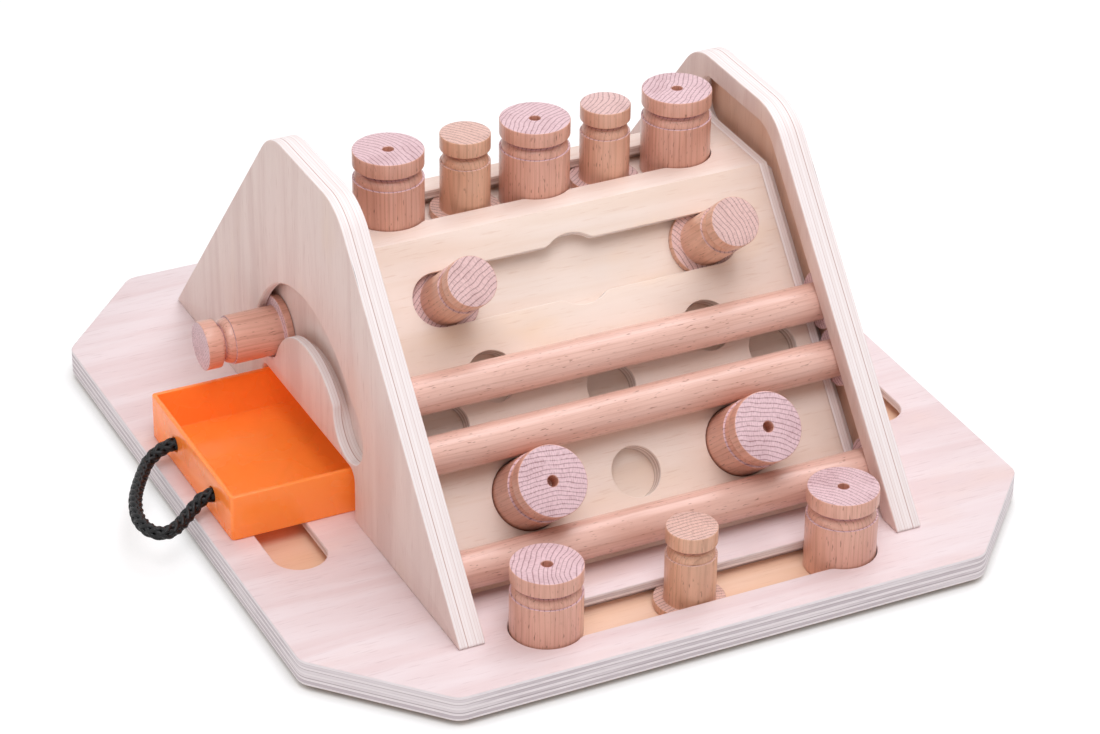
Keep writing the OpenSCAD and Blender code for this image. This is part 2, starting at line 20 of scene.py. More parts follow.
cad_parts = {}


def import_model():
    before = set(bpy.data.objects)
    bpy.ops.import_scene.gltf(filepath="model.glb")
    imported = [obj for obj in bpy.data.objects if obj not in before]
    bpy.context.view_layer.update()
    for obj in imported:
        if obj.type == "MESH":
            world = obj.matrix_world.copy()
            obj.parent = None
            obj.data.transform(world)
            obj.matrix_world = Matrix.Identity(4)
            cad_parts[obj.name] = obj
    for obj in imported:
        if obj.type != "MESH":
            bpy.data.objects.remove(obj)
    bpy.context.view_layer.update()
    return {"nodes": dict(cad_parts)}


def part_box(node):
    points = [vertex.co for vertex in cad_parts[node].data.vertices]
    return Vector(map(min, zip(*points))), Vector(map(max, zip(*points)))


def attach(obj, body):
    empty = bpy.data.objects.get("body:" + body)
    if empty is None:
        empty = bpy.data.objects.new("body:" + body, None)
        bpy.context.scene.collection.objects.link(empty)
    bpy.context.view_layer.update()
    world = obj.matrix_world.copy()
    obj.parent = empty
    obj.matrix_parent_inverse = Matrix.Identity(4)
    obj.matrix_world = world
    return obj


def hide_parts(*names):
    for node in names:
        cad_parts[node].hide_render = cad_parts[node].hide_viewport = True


LOG = logging.getLogger("puzzle_feeder")
MM = 0.001
Point = tuple[float, float, float]
Outline = list[tuple[float, float]]
Nodes = dict[str, bpy.types.Object]
Add = Callable[..., bpy.types.Node]
Material = bpy.types.Material

# Directions: up the slope, outwards from its face, and outwards from the back board
SLOPE_ANGLE = math.atan2(165.0, 140.0)
UP: Point = (0.0, 0.0, 1.0)
ACROSS: Point = (1.0, 0.0, 0.0)
OUT_OF_SLOPE: Point = (0.0, -math.sin(SLOPE_ANGLE), math.cos(SLOPE_ANGLE))
OUT_OF_BACK: Point = (0.0, math.sin(SLOPE_ANGLE), math.cos(SLOPE_ANGLE))
# Heights that boards share: top of the base, top of the deck, outside of the panels
BASE_TOP = 16.5 * MM
DECK_TOP = 147.0 * MM
PANEL_OUTSIDE = 123.5 * MM

# Node types and settings that the trees use again and again
MATH, VECTOR, RANGE = "ShaderNodeMath", "ShaderNodeVectorMath", "ShaderNodeMapRange"
MIX, NOISE, COMBINE = "ShaderNodeMix", "ShaderNodeTexNoise", "ShaderNodeCombineXYZ"
PRINCIPLED, BUMP, OUTPUT = "ShaderNodeBsdfPrincipled", "ShaderNodeBump", "ShaderNodeOutputMaterial"
SMOOTH = {"interpolation_type": "SMOOTHSTEP"}
RGBA = {"data_type": "RGBA"}
CLAMPED_SUM = {"operation": "ADD", "use_clamp": True}


class Axis(Enum):
    """Direction in which a turned piece points, from its foot to its cap."""

    UP = UP
    SLOPE = OUT_OF_SLOPE
    LEFT = (-1.0, 0.0, 0.0)
    RIGHT = ACROSS


class Side(Enum):
    """Left or right half of the feeder, as the sign of X."""

    LEFT = -1
    RIGHT = 1

    @property
    def label(self) -> str:
        """The word used in node and body names."""
        return self.name.lower()


# ---- Colours and nodes ----


def linear(code: str) -> tuple[float, float, float, float]:
    """Turns an sRGB colour into the linear one that shaders take.

    Args:
        code: Six hex digits after a hash sign.

    Returns:
        Red, green, blue and an alpha of 1.
    """
    parts = [int(code[i : i + 2], 16) / 255 for i in (1, 3, 5)]
    r, g, b = (c / 12.92 if c <= 0.04045 else ((c + 0.055) / 1.055) ** 2.4 for c in parts)
    return (r, g, b, 1.0)


def add_node(tree: bpy.types.NodeTree, kind: str, *values: Any, named: dict[str, Any] | None = None,
             **settings: Any) -> bpy.types.Node:
    """Adds a node with its settings, values and links.

    Args:
        tree: The node tree that it goes into.
        kind: The node's type.
        *values: A value, a node or an output for each open input, in order.
        named: The same for inputs by name.
        **settings: Properties of the node itself.

    Returns:
        The new node.
    """
    node = tree.nodes.new(kind)
    for name, value in settings.items():
        setattr(node, name, value)
    pairs = list(zip([socket for socket in node.inputs if socket.enabled], values))
    pairs += [(node.inputs[name], value) for name, value in (named or {}).items()]
    for socket, value in pairs:
        if isinstance(value, bpy.types.Node):
            value = next(output for output in value.outputs if output.enabled)
        if isinstance(value, bpy.types.NodeSocket):
            tree.links.new(value, socket)
        else:
            socket.default_value = value
    return node


def new_material(name: str) -> tuple[Material, Add]:
    """Starts a material on an empty tree.

    Args:
        name: The material's name.

    Returns:
        The material, and the call that adds a node to it.
    """
    material = bpy.data.materials.new(name)
    material.use_nodes = True
    material.node_tree.nodes.clear()
    return material, partial(add_node, material.node_tree)


# ---- Finishes ----


@dataclass(frozen=True)
class Figure:
    """A stretched pattern in wood.

    Attributes:
        per_metre: Features per metre in each direction.
        start: Noise value from which the pattern shows.
        full: Noise value from which it shows in full.
        strength: How much it then covers, from 0 to 1.
        layer: Shift that keeps it apart from other patterns.
        wander: How much its lines bend.
        detail: Number of finer layers in it.
    """

    per_metre: Point
    start: float = 0.0
    full: float = 1.0
    strength: float = 1.0
    layer: float = 0.0
    wander: float = 0.0
    detail: float = 3.0

    def noise(self, add: Add, at: Any) -> bpy.types.Node:
        """Adds the pattern's noise, around 0.5, at a place in the wood."""
        place = add(VECTOR, at, self.per_metre, (0.0, 0.0, self.layer), operation="MULTIPLY_ADD")
        return add(NOISE, place, 1.0, self.detail, named={"Distortion": self.wander})

    def cover(self, add: Add, noise: Any) -> bpy.types.Node:
        """Adds how much the pattern covers, from 0 to its strength."""
        return add(RANGE, noise, self.start, self.full, 0.0, self.strength, **SMOOTH)


@dataclass(frozen=True)
class BirchPly:
    """Birch ply glued up from 4.5 mm sheets, rotary cut, sanded and lacquered in a clear satin.

    The faces are pale with long faint figure, warm flushes and short vessel lines. The sawn edges
    show 1.5 mm veneers, light where the grain runs along and darker where it is cut across, with
    thin glue lines. The glue line between two sheets is the darkest.

    Attributes:
        name: The material's name.
        through: Direction through the board.
        grain: Direction of the grain.
        outer: Place of the open face in that direction.
        face, figure, flush, vessel: Colours of the face and its patterns.
        edge, edge_cut, glue: Colours of the edge's veneers and glue.
        mirrored: Whether the board stands on both sides of the feeder.
        first_joint, second_joint: How dark the two joints between sheets are.
    """

    name: str
    through: Point
    grain: Point
    outer: float
    face: str
    figure: str
    flush: str
    vessel: str
    edge: str
    edge_cut: str
    glue: str
    mirrored: bool = False
    first_joint: float = 0.6
    second_joint: float = 0.6
    knot: str = "#5E4038"
    veneer: float = 1.5 * MM
    roughness: float = 0.42
    # Figure 20 by 200 mm, flushes 36 by 83 mm, streaks 4 by 60 mm, vessel lines 1 by 12 mm
    broad: Figure = Figure((5.0, 48.0, 40.0), 0.38, 0.66, wander=0.9)
    flushes: Figure = Figure((12.0, 28.0, 0.0), 0.52, 0.8, 0.75, layer=3.7)
    streaks: Figure = Figure((17.0, 250.0, 0.0), 0.5, 0.78, 0.4, layer=5.1, wander=0.5)
    vessels: Figure = Figure((85.0, 1000.0, 0.0), 0.56, 0.8, 0.42, layer=1.3)
    # On the edge: fibres 7 mm long, tones 70 mm long, and a small knot of a millimetre or two
    fibres: Figure = Figure((150.0, 40.0, 3.1), 0.48, 0.75, 0.4)
    tones: Figure = Figure((14.0, 1.0, 0.0), 0.25, 0.6, layer=2.2, detail=2.0)
    knots: Figure = Figure((170.0, 9.0, 1.0), 0.86, 0.9, 0.8, detail=0.0)

    def build(self) -> Material:
        """Builds the material, with faces and edges told apart by the surface's direction.

        Returns:
            The material.
        """
        material, add = new_material(self.name)
        place = add("ShaderNodeTexCoord").outputs
        axes = (self.grain, tuple(Vector(self.through).cross(Vector(self.grain))), self.through)
        along, side, height = (add(VECTOR, place["Object"], axis, operation="DOT_PRODUCT") for axis in axes)
        if self.mirrored:
            height = add(MATH, height, operation="ABSOLUTE")
        depth = add(MATH, self.outer, height, operation="SUBTRACT")
        facing = add(VECTOR, place["Normal"], self.through, operation="DOT_PRODUCT")
        on_face = add(RANGE, add(MATH, facing, operation="ABSOLUTE"), 0.5, 0.8, **SMOOTH)

        sheet = add(COMBINE, along, side, depth)
        lines = self.vessels.noise(add, sheet)
        colour: Any = linear(self.face)
        for pattern, code in ((self.broad, self.figure), (self.flushes, self.flush), (self.streaks, self.figure),
                              (self.vessels, self.vessel)):
            noise = lines if pattern is self.vessels else pattern.noise(add, sheet)
            colour = add(MIX, pattern.cover(add, noise), colour, linear(code), **RGBA)

        # Veneers across the thickness, with a wavy tone
        ply = add(MATH, depth, self.veneer, operation="DIVIDE")
        number = add(MATH, ply, operation="FLOOR")
        cut = add(MATH, add(MATH, number, 2.0, operation="MODULO"), operation="ABSOLUTE")
        run = add(MATH, along, side, operation="ADD")
        rim = add(COMBINE, run, side, ply)
        fibre = self.fibres.noise(add, rim)
        slow = self.tones.noise(add, add(COMBINE, run, number, 0.0))
        tone = add(MATH, cut, self.tones.cover(add, slow), operation="MULTIPLY")
        tone = add(MATH, tone, self.fibres.cover(add, fibre), **CLAMPED_SUM)
        edge = add(MIX, tone, linear(self.edge), linear(self.edge_cut), **RGBA)
        # A thin glue line at each whole number of veneers
        seam = add(RANGE, add(MATH, ply, 0.5, operation="PINGPONG"), 0.02, 0.1, 0.35, 0.0, **SMOOTH)
        edge = add(MIX, seam, edge, linear(self.glue), **RGBA)
        # Every third glue line joins two sheets
        near = add(RANGE, add(MATH, ply, 1.5, operation="PINGPONG"), 0.05, 0.22, 1.0, 0.0, **SMOOTH)
        deep = add(MATH, ply, 4.5, operation="GREATER_THAN")
        weight = add(MATH, deep, self.second_joint - self.first_joint, self.first_joint, operation="MULTIPLY_ADD")
        joint = add(MATH, near, weight, operation="MULTIPLY")
        joint = add(MATH, joint, add(RANGE, ply, 1.2, 1.6, **SMOOTH), operation="MULTIPLY")
        edge = add(MIX, joint, edge, linear(self.glue), **RGBA)
        knot = self.knots.cover(add, self.knots.noise(add, rim))
        edge = add(MIX, knot, edge, linear(self.knot), **RGBA)

        relief = add(MATH, lines, on_face, fibre, operation="MULTIPLY_ADD")
        add(OUTPUT, add(PRINCIPLED, named={
            "Base Color": add(MIX, on_face, edge, colour, **RGBA),
            "Roughness": add(MATH, lines, 0.12, self.roughness, operation="MULTIPLY_ADD"),
            "IOR": 1.5,
            "Normal": add(BUMP, named={"Height": relief, "Distance": 0.03 * MM, "Strength": 1.0}),
        }))
        return material


@dataclass(frozen=True)
class Beech:
    """Steamed beech, turned or rolled as dowel, sanded and oiled to a satin.

    The sides show long grain with short dark ray flecks. The ends show thin year rings with fine
    rays across them. Both come from one block of wood: each piece carries its own place in the log
    in the attribute "log", its end faces in "end" and how yellow its wood is in "tint".

    Attributes:
        name: The material's name.
        early, late: Colours of the side's early and late wood.
        end_early, end_late: The same on the ends.
        fleck: Colour of the ray flecks.
        yellow: Hue of the yellower pieces.
        ring: Distance between two year rings.
    """

    name: str
    early: str
    late: str
    end_early: str = "#E6C6CB"
    end_late: str = "#9A6C70"
    fleck: str = "#865342"
    yellow: str = "#CDA27C"
    ring: float = 2.3 * MM
    roughness: float = 0.3
    # Rings sway over 22 mm and break up over 6 mm; patches of 13 by 77 mm
    sway: Figure = Figure((45.0, 45.0, 8.0), detail=2.0)
    breaks: Figure = Figure((160.0, 160.0, 20.0), 0.1, 0.45, detail=1.0)
    patches: Figure = Figure((75.0, 75.0, 13.0), 0.42, 0.75, 0.35, detail=2.0)
    end_patches: Figure = Figure((75.0, 75.0, 13.0), 0.45, 0.75, 0.2, detail=2.0)
    # Fibres 1 mm apart and 22 mm long, flecks of 0.8 by 4 mm, rays of 0.5 by 3 mm on the ends
    fibres: Figure = Figure((900.0, 900.0, 45.0), 0.38, 0.76, 0.34)
    flecks: Figure = Figure((1300.0, 1300.0, 230.0), 0.64, 0.78, detail=1.0)
    rays: Figure = Figure((150.0, 380.0, 0.0), 0.42, 0.72, 0.42, detail=2.0)

    def build(self) -> Material:
        """Builds the material, as solid wood around a pith some 50 mm from the piece's axis.

        Returns:
            The material.
        """
        material, add = new_material(self.name)
        log, end, tint = (add("ShaderNodeAttribute", attribute_name=name).outputs for name in ("log", "end", "tint"))
        log, end, tint = log["Vector"], end["Fac"], tint["Fac"]
        x, y, _ = add("ShaderNodeSeparateXYZ", log).outputs
        reach = add(VECTOR, add(COMBINE, x, y, 0.0), operation="LENGTH")

        # Year rings: each ends in a line of darker late wood
        even = add(MATH, reach, self.ring, operation="DIVIDE")
        year = add(MATH, self.sway.noise(add, log), 3.0, even, operation="MULTIPLY_ADD")
        saw = add(MATH, year, operation="FRACT")
        late = add(MATH, add(RANGE, saw, 0.66, 0.96, **SMOOTH), add(RANGE, saw, 0.965, 1.0, 1.0, 0.0, **SMOOTH),
                   operation="MULTIPLY")
        late = add(MATH, late, self.breaks.cover(add, self.breaks.noise(add, log)), operation="MULTIPLY")

        fibre = self.fibres.noise(add, log)
        fleck = self.flecks.cover(add, self.flecks.noise(add, log))
        patch = self.patches.noise(add, log)
        tone = add(MATH, late, 0.35, self.fibres.cover(add, fibre), operation="MULTIPLY_ADD")
        tone = add(MATH, tone, self.patches.cover(add, patch), **CLAMPED_SUM)
        side = add(MIX, tone, linear(self.early), linear(self.late), **RGBA)
        side = add(MIX, add(MATH, fleck, 0.7, operation="MULTIPLY"), side, linear(self.fleck), **RGBA)

        turn = add(MATH, y, x, operation="ARCTAN2")
        ray = self.rays.cover(add, self.rays.noise(add, add(COMBINE, turn, reach, 0.0)))
        tone = add(MATH, late, 0.75, ray, operation="MULTIPLY_ADD", use_clamp=True)
        tone = add(MATH, tone, self.end_patches.cover(add, patch), **CLAMPED_SUM)
        cap = add(MIX, tone, linear(self.end_early), linear(self.end_late), **RGBA)

        wood = add(MIX, end, side, cap, **RGBA)
        dull = add(MATH, end, 0.18, self.roughness, operation="MULTIPLY_ADD")
        relief = add(MATH, add(MATH, fibre, 0.6, operation="MULTIPLY"), fleck, operation="SUBTRACT")
        add(OUTPUT, add(PRINCIPLED, named={
            "Base Color": add(MIX, tint, wood, linear(self.yellow), blend_type="COLOR", **RGBA),
            "Roughness": add(MATH, fibre, 0.14, dull, operation="MULTIPLY_ADD"),
            "IOR": 1.5,
            "Coat Weight": 0.3,
            "Coat Roughness": 0.16,
            "Normal": add(BUMP, named={"Height": relief, "Distance": 0.03 * MM, "Strength": 1.0}),
        }))
        return material


@dataclass(frozen=True)
class Mottled:
    """A finish of one stuff, whose second colour and relief follow one fine pattern.

    Attributes:
        name: The material's name.
        colour, second: The two colours.
        per_metre: Features of the pattern per metre.
        start, full: Noise values between which the second colour comes in.
        roughness: Roughness where the gloss is best.
        more_rough: Features per metre, start and full values, and strength of what makes it rougher.
        relief: Height of the relief.
        relief_per_metre: Features of the relief per metre, where it isn't the colour's pattern.
        detail, wander: Finer layers in the pattern, and how much it bends.
        constants: Other inputs of the shader.
    """

    name: str
    colour: str
    second: str
    per_metre: float
    start: float
    full: float
    roughness: float
    more_rough: tuple[float, float, float, float] | None = None
    relief: float = 0.0
    relief_per_metre: float | None = None
    detail: float = 2.0
    wander: float = 0.0
    constants: tuple[tuple[str, Any], ...] = ()

    def build(self) -> Material:
        """Builds the material.

        Returns:
            The material.
        """
        material, add = new_material(self.name)
        at = add("ShaderNodeTexCoord").outputs["Object"]
        noise = add(NOISE, at, self.per_metre, self.detail, named={"Distortion": self.wander})
        blend = add(RANGE, noise, self.start, self.full, **SMOOTH)
        inputs: dict[str, Any] = {"Base Color": add(MIX, blend, linear(self.colour), linear(self.second), **RGBA),
                                  "Roughness": self.roughness, **dict(self.constants)}
        if self.more_rough:
            per_metre, start, full, most = self.more_rough
            second = add(NOISE, at, per_metre, self.detail, named={"Distortion": self.wander})
            more = add(RANGE, second, start, full, 0.0, most, **SMOOTH)
            inputs["Roughness"] = add(MATH, self.roughness, more, operation="ADD")
        if self.relief:
            fine = add(NOISE, at, self.relief_per_metre, 1.0) if self.relief_per_metre else noise
            inputs["Normal"] = add(BUMP, named={"Height": fine, "Distance": self.relief, "Strength": 1.0})
        add(OUTPUT, add(PRINCIPLED, named=inputs))
        return material


# Colours of the boards' edges: veneers along the grain, veneers cut across it, glue
PALE_EDGE = ("#F0E9EA", "#CABFC3", "#8F7B80")
CREAM_EDGE = ("#F3E9E3", "#D3C4BC", "#A58A7F")
# The slope's face stands this far along its own outward direction
SLOPE_FACE = Vector(OUT_OF_SLOPE).dot(Vector((0, -180.5 * MM, BASE_TOP))) - 31 * MM


@dataclass
class Finishes:
    """Every material of the feeder, built once."""

    # Birch ply: pale, satin, with faint figure; each board has its own warmth. The slot floor and the panels' inside
    # faces are the same ply painted warmer: painted bounce light in the slots and recesses
    base: Material = field(default_factory=BirchPly(
        "birch_ply_base", UP, ACROSS, BASE_TOP, "#EDDEDF", "#E6D1D1", "#EBD3CD", "#C4A8A8", *PALE_EDGE,
        first_joint=0.45, second_joint=0.7).build)
    # Painted bounce light: the slots' floor is the base's birch painted golden, for the warm light that bounces off
    # the slot walls
    base_floor: Material = field(default_factory=BirchPly(
        "birch_ply_slot_floor", UP, ACROSS, BASE_TOP, "#F3CFB6", "#EBC2A4", "#EFC7A2", "#D3A283", *PALE_EDGE,
        second_joint=0.7).build)
    panel: Material = field(default_factory=BirchPly(
        "birch_ply_panel", ACROSS, UP, PANEL_OUTSIDE, "#EFDAD2", "#E4CBC3", "#EDD4C3", "#C9A79D", "#F8F0EE",
        "#F2E8E5", "#B98F86", mirrored=True, first_joint=0.85, second_joint=0.25).build)
    # Painted bounce light: the panels' inside faces, in the recesses behind the slots, are the same ply painted
    # warmer and a little darker
    track: Material = field(default_factory=BirchPly(
        "birch_ply_panel_inside", ACROSS, UP, PANEL_OUTSIDE, "#F0CDB7", "#E5BDA4", "#EDC6A9", "#C79C84",
        "#F0DCCB", "#DFC2AC", "#B98F86", mirrored=True).build)
    slope: Material = field(default_factory=BirchPly(
        "birch_ply_slope", OUT_OF_SLOPE, ACROSS, SLOPE_FACE, "#F6E5D9", "#F0DBCB", "#F4D5B4", "#D9B79F",
        *CREAM_EDGE).build)
    deck: Material = field(default_factory=BirchPly(
        "birch_ply_deck", UP, ACROSS, DECK_TOP, "#F5E6DC", "#EFDBCF", "#F3D8BC", "#D9B79F", *CREAM_EDGE).build)
    back: Material = field(default_factory=BirchPly(
        "birch_ply_back", OUT_OF_BACK, ACROSS, 0.0, "#F3E0D5", "#EBD2C4", "#F0D4BA", "#D2AE97",
        *CREAM_EDGE).build)
    rail: Material = field(default_factory=BirchPly(
        "birch_ply_rail", UP, ACROSS, BASE_TOP, "#E9D2C0", "#DFC3AF", "#E4C6A8", "#C49F86", "#E3D6CC",
        "#BFAEA2", "#94796C").build)
    # Beech: pink brown, with flecks on the sides and rings on the ends; dowel stock is paler
    turned: Material = field(default_factory=Beech("beech_turned", "#E7B19C", "#BC826E").build)
    dowel: Material = field(default_factory=Beech(
        "beech_dowel", "#EAC0B1", "#CD9986", "#DFBBBE", "#96686A", "#935A48").build)
    # Injection moulded polystyrene: glossy, with a faint orange peel of 4 mm, clouds of 45 mm in the
    # colour and of 17 mm in the gloss. The faint glow stands for the light that comes through the
    # thin walls from the white floor.
    plastic: Material = field(default_factory=Mottled(
        "orange_polystyrene_moulded", "#FF8F3E", "#FF8C3A", 22.0, 0.35, 0.7, 0.24, (60.0, 0.4, 0.75, 0.08),
        relief=0.02 * MM, relief_per_metre=240.0,
        constants=(("IOR", 1.55), ("Emission Color", linear("#FF7A28")), ("Emission Strength", 0.16),
                   ("Subsurface Weight", 0.35), ("Subsurface Radius", (1.0, 0.4, 0.12)),
                   ("Subsurface Scale", 3 * MM))).build)
    # Braided multifilament: a soft sheen. Filaments of 0.1 mm are drawn 0.35 mm wide, so that they show.
    rope: Material = field(default_factory=Mottled(
        "black_polypropylene_braid", "#050507", "#17171C", 2900.0, 0.5, 0.8, 0.38, relief=0.12 * MM, wander=1.2,
        constants=(("IOR", 1.4),)).build)
    # Rope ends melted to flat stops: smooth, wavy over 2 mm and shiny
    melted: Material = field(default_factory=Mottled(
        "black_polypropylene_melted", "#08080A", "#1A1614", 420.0, 0.45, 0.75, 0.2, (420.0, 0.4, 0.8, 0.25),
        relief=0.25 * MM, detail=3.0, wander=1.0).build)
    # Rubber from a blasted tool: matt, pitted every 0.7 mm
    rubber: Material = field(default_factory=Mottled(
        "grey_rubber_moulded", "#4A4A4C", "#626264", 1400.0, 0.45, 0.75, 0.8, relief=0.06 * MM).build)
    # Bright zinc on steel: clean metal with a faint mottle of 1.4 mm in the gloss
    steel: Material = field(default_factory=Mottled(
        "steel_zinc_plated", "#C9CDD2", "#A4A9B0", 700.0, 0.4, 0.7, 0.24, (700.0, -0.25, 1.25, 0.16),
        detail=3.0, constants=(("Metallic", 1.0),)).build)


# ---- Meshes ----


def linked(name: str, data: Any) -> bpy.types.Object:
    """Makes an object and links it to the scene.

    Args:
        name: The object's name.
        data: Its mesh, curve, lamp or camera.

    Returns:
        The object, at the origin.
    """
    thing = bpy.data.objects.new(name, data)
    bpy.context.scene.collection.objects.link(thing)
    return thing


def mesh_object(name: str, vertices: Iterable[Sequence[float]], faces: Iterable[Sequence[int]],
                material: Material) -> bpy.types.Object:
    """Makes a smooth shaded mesh object at the origin.

    Args:
        name: The object's name.
        vertices: Points in the row frame, in metres.
        faces: Corner numbers of each face.
        material: Its material.

    Returns:
        The object, linked to the scene.
    """
    mesh = bpy.data.meshes.new(name)
    mesh.from_pydata([tuple(v) for v in vertices], [], [tuple(f) for f in faces])
    mesh.materials.append(material)
    mesh.polygons.foreach_set("use_smooth", [True] * len(mesh.polygons))
    mesh.update()
    return linked(name, mesh)


def sharpen(mesh: bpy.types.Mesh, angle: float) -> None:
    """Shades a mesh smooth, with a crease at each edge that turns by more than an angle.

    Args:
        mesh: The mesh.
        angle: The angle in degrees.
    """
    bm = bmesh.new()
    bm.from_mesh(mesh)
    for edge in bm.edges:
        edge.smooth = len(edge.link_faces) == 2 and edge.calc_face_angle(0.0) < math.radians(angle)
    for face in bm.faces:
        face.smooth = True
    bm.to_mesh(mesh)
    bm.free()


def stand_for(piece: bpy.types.Object, body: str, node: str) -> None:
    """Puts a piece on its body in place of its solid.

    Args:
        piece: The finished piece.
        body: The body that it rides on.
        node: The solid that it stands for.
    """
    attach(piece, body)
    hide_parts(node)
    LOG.info("%s on %s", piece.name, body)


def soften(node: bpy.types.Object, name: str, material: Material, radius: float,
           picked: Callable[[bmesh.types.BMEdge], bool]) -> bpy.types.Object:
    """Copies a solid with some of its edges rounded.

    Args:
        node: The solid's object, which stays as it is.
        name: Name of the copy.
        material: Its material.
        radius: Radius of the rounding.
        picked: Tells whether an edge is rounded.

    Returns:
        The copy.
    """
    bm = bmesh.new()
    bm.from_mesh(node.data)
    bmesh.ops.remove_doubles(bm, verts=bm.verts, dist=1e-6)
    bmesh.ops.dissolve_limit(bm, angle_limit=math.radians(0.2), verts=bm.verts, edges=bm.edges)
    bmesh.ops.bevel(bm, geom=[e for e in bm.edges if picked(e)], offset=radius, segments=3, profile=0.5,
                    affect="EDGES", clamp_overlap=False)
    bmesh.ops.triangulate(bm, faces=bm.faces)
    mesh = bpy.data.meshes.new(name)
    bm.to_mesh(mesh)
    bm.free()
    mesh.materials.append(material)
    return linked(name, mesh)


def join(name: str, parts: list[bpy.types.Object]) -> bpy.types.Object:
    """Joins loose parts into one mesh object.

    Args:
        name: Name of the result.
        parts: The parts, which are used up.

    Returns:
        The joined object.
    """
    bm = bmesh.new()
    for part in parts:
        bm.from_mesh(part.data)
    mesh = bpy.data.meshes.new(name)
    for material in parts[0].data.materials:
        mesh.materials.append(material)
    bm.to_mesh(mesh)
    bm.free()
    for part in parts:
        bpy.data.objects.remove(part)
    return linked(name, mesh)


def grow(name: str, holder: bpy.types.Object, tree: bpy.types.GeometryNodeTree,
         values: dict[str, Any]) -> bpy.types.Object:
    """Runs a Geometry Nodes tree on an object and keeps the result as a plain mesh.

    Args:
        name: Name of the result.
        holder: The object that the tree starts from, which is used up.
        tree: The tree.
        values: The tree's named inputs.

    Returns:
        The result's object.
    """
    modifier = holder.modifiers.new("grow", "NODES")
    modifier.node_group = tree
    for item in tree.interface.items_tree:
        if item.item_type == "SOCKET" and item.in_out == "INPUT" and item.name in values:
            modifier[item.identifier] = values[item.name]
    graph = bpy.context.evaluated_depsgraph_get()
    mesh = bpy.data.meshes.new_from_object(holder.evaluated_get(graph), depsgraph=graph)
    bpy.data.objects.remove(holder)
    mesh.name = name
    return linked(name, mesh)


def new_tree(name: str, result: str, **inputs: str) -> bpy.types.GeometryNodeTree:
    """Starts a Geometry Nodes tree.

    Args:
        name: The tree's name.
        result: Name of its output.
        **inputs: Kind of each input by name, with underscores for spaces.

    Returns:
        The tree.
    """
    tree = bpy.data.node_groups.new(name, "GeometryNodeTree")
    for label, kind in inputs.items():
        tree.interface.new_socket(label.replace("_", " "), in_out="INPUT", socket_type=f"NodeSocket{kind}")
    tree.interface.new_socket(result, in_out="OUTPUT", socket_type="NodeSocketGeometry")
    return tree


def ring_faces(rings: int, steps: int) -> list[tuple[int, ...]]:
    """Lists the faces of a closed form made of rings of points between two middle points.

    Args:
        rings: Number of rings.
        steps: Points in each ring.

    Returns:
        Corner numbers of each face, where the first middle point is 0 and the last one comes last.
    """
    last, end = 1 + (rings - 1) * steps, 1 + rings * steps
    faces: list[tuple[int, ...]] = []
    for k in range(steps):
        k1 = (k + 1) % steps
        faces.append((0, 1 + k1, 1 + k))
        faces += [(a + k, a + k1, a + steps + k1, a + steps + k) for a in range(1, last, steps)]
        faces.append((last + k, last + k1, end))
    return faces


@dataclass
class Lathe:
    """Spins an outline round an axis into a closed mesh, and writes where it lies in the log.

    Attributes:
        outline: Radius and height of each point, from the foot's middle to the cap's, in metres.
        segments: Number of steps round the axis.
    """

    outline: Outline
    segments: int = 96

    def spin(self, name: str, place: Matrix, log_at: Point, material: Material, tint: float = 0.0
             ) -> bpy.types.Object:
        """Makes the turned piece.

        Args:
            name: The piece's name.
            place: Turns the piece's own frame, with its axis on Z, into the row frame.
            log_at: Where the piece's foot lay in the log, from the pith.
            material: Its wood.
            tint: How yellow its wood is, from 0 to 1.

        Returns:
            The piece, with the attributes "log", "end" and "tint" on its points.
        """
        n = self.segments
        points: list[Point] = [(0.0, 0.0, self.outline[0][1])]
        ends = [1.0]
        for i, (radius, height) in enumerate(self.outline[1:-1], 1):
            (r0, h0), (r1, h1) = self.outline[i - 1], self.outline[i + 1]
            length = math.hypot(r1 - r0, h1 - h0)
            flat = abs(r1 - r0) / length if length else 0.0
            # End grain where the outline runs within some 35 degrees of square to the axis
            ends += [min(max((flat - 0.8) / 0.15, 0.0), 1.0)] * n
            points += [(radius * math.cos(math.tau * k / n), radius * math.sin(math.tau * k / n), height)
                       for k in range(n)]
        points.append((0.0, 0.0, self.outline[-1][1]))
        ends.append(1.0)
        faces = ring_faces(len(self.outline) - 2, n)
        piece = mesh_object(name, (place @ Vector(p) for p in points), faces, material)
        sharpen(piece.data, 40.0)
        log = np.array([np.add(p, log_at) for p in points], float).ravel()
        for key, kind, member, values in (("log", "FLOAT_VECTOR", "vector", log), ("end", "FLOAT", "value", ends),
                                          ("tint", "FLOAT", "value", [tint] * len(points))):
            piece.data.attributes.new(key, kind, "POINT").data.foreach_set(member, values)
        return piece


def seat(node: bpy.types.Object, axis: Point) -> Matrix:
    """Finds where a turned solid stands.

    Args:
        node: The solid's object.
        axis: Its direction from foot to cap.

    Returns:
        The matrix from a frame with the foot's middle at the origin and the axis on Z.
    """
    up = Vector(axis)
    first = Vector((1, 0, 0)) if abs(up.x) < 0.5 else Vector((0, 1, 0))
    second = up.cross(first)
    points = np.array([v.co for v in node.data.vertices], float)
    spans = [(points @ np.array(v)) for v in (first, second, up)]
    middle = first * (spans[0].min() + spans[0].max()) / 2 + second * (spans[1].min() + spans[1].max()) / 2
    middle += up * spans[2].min()
    turn = Matrix((first, second, up)).transposed().to_4x4()
    return Matrix.Translation(middle) @ turn


def arc(centre: tuple[float, float], radius: float, start: float, stop: float, steps: int) -> Outline:
    """Returns points on an arc of an outline, from one angle in degrees to another."""
    angles = (math.radians(start + (stop - start) * i / steps) for i in range(steps + 1))
    return [(centre[0] + radius * math.cos(a), centre[1] + radius * math.sin(a)) for a in angles]


# ---- Turned pieces ----


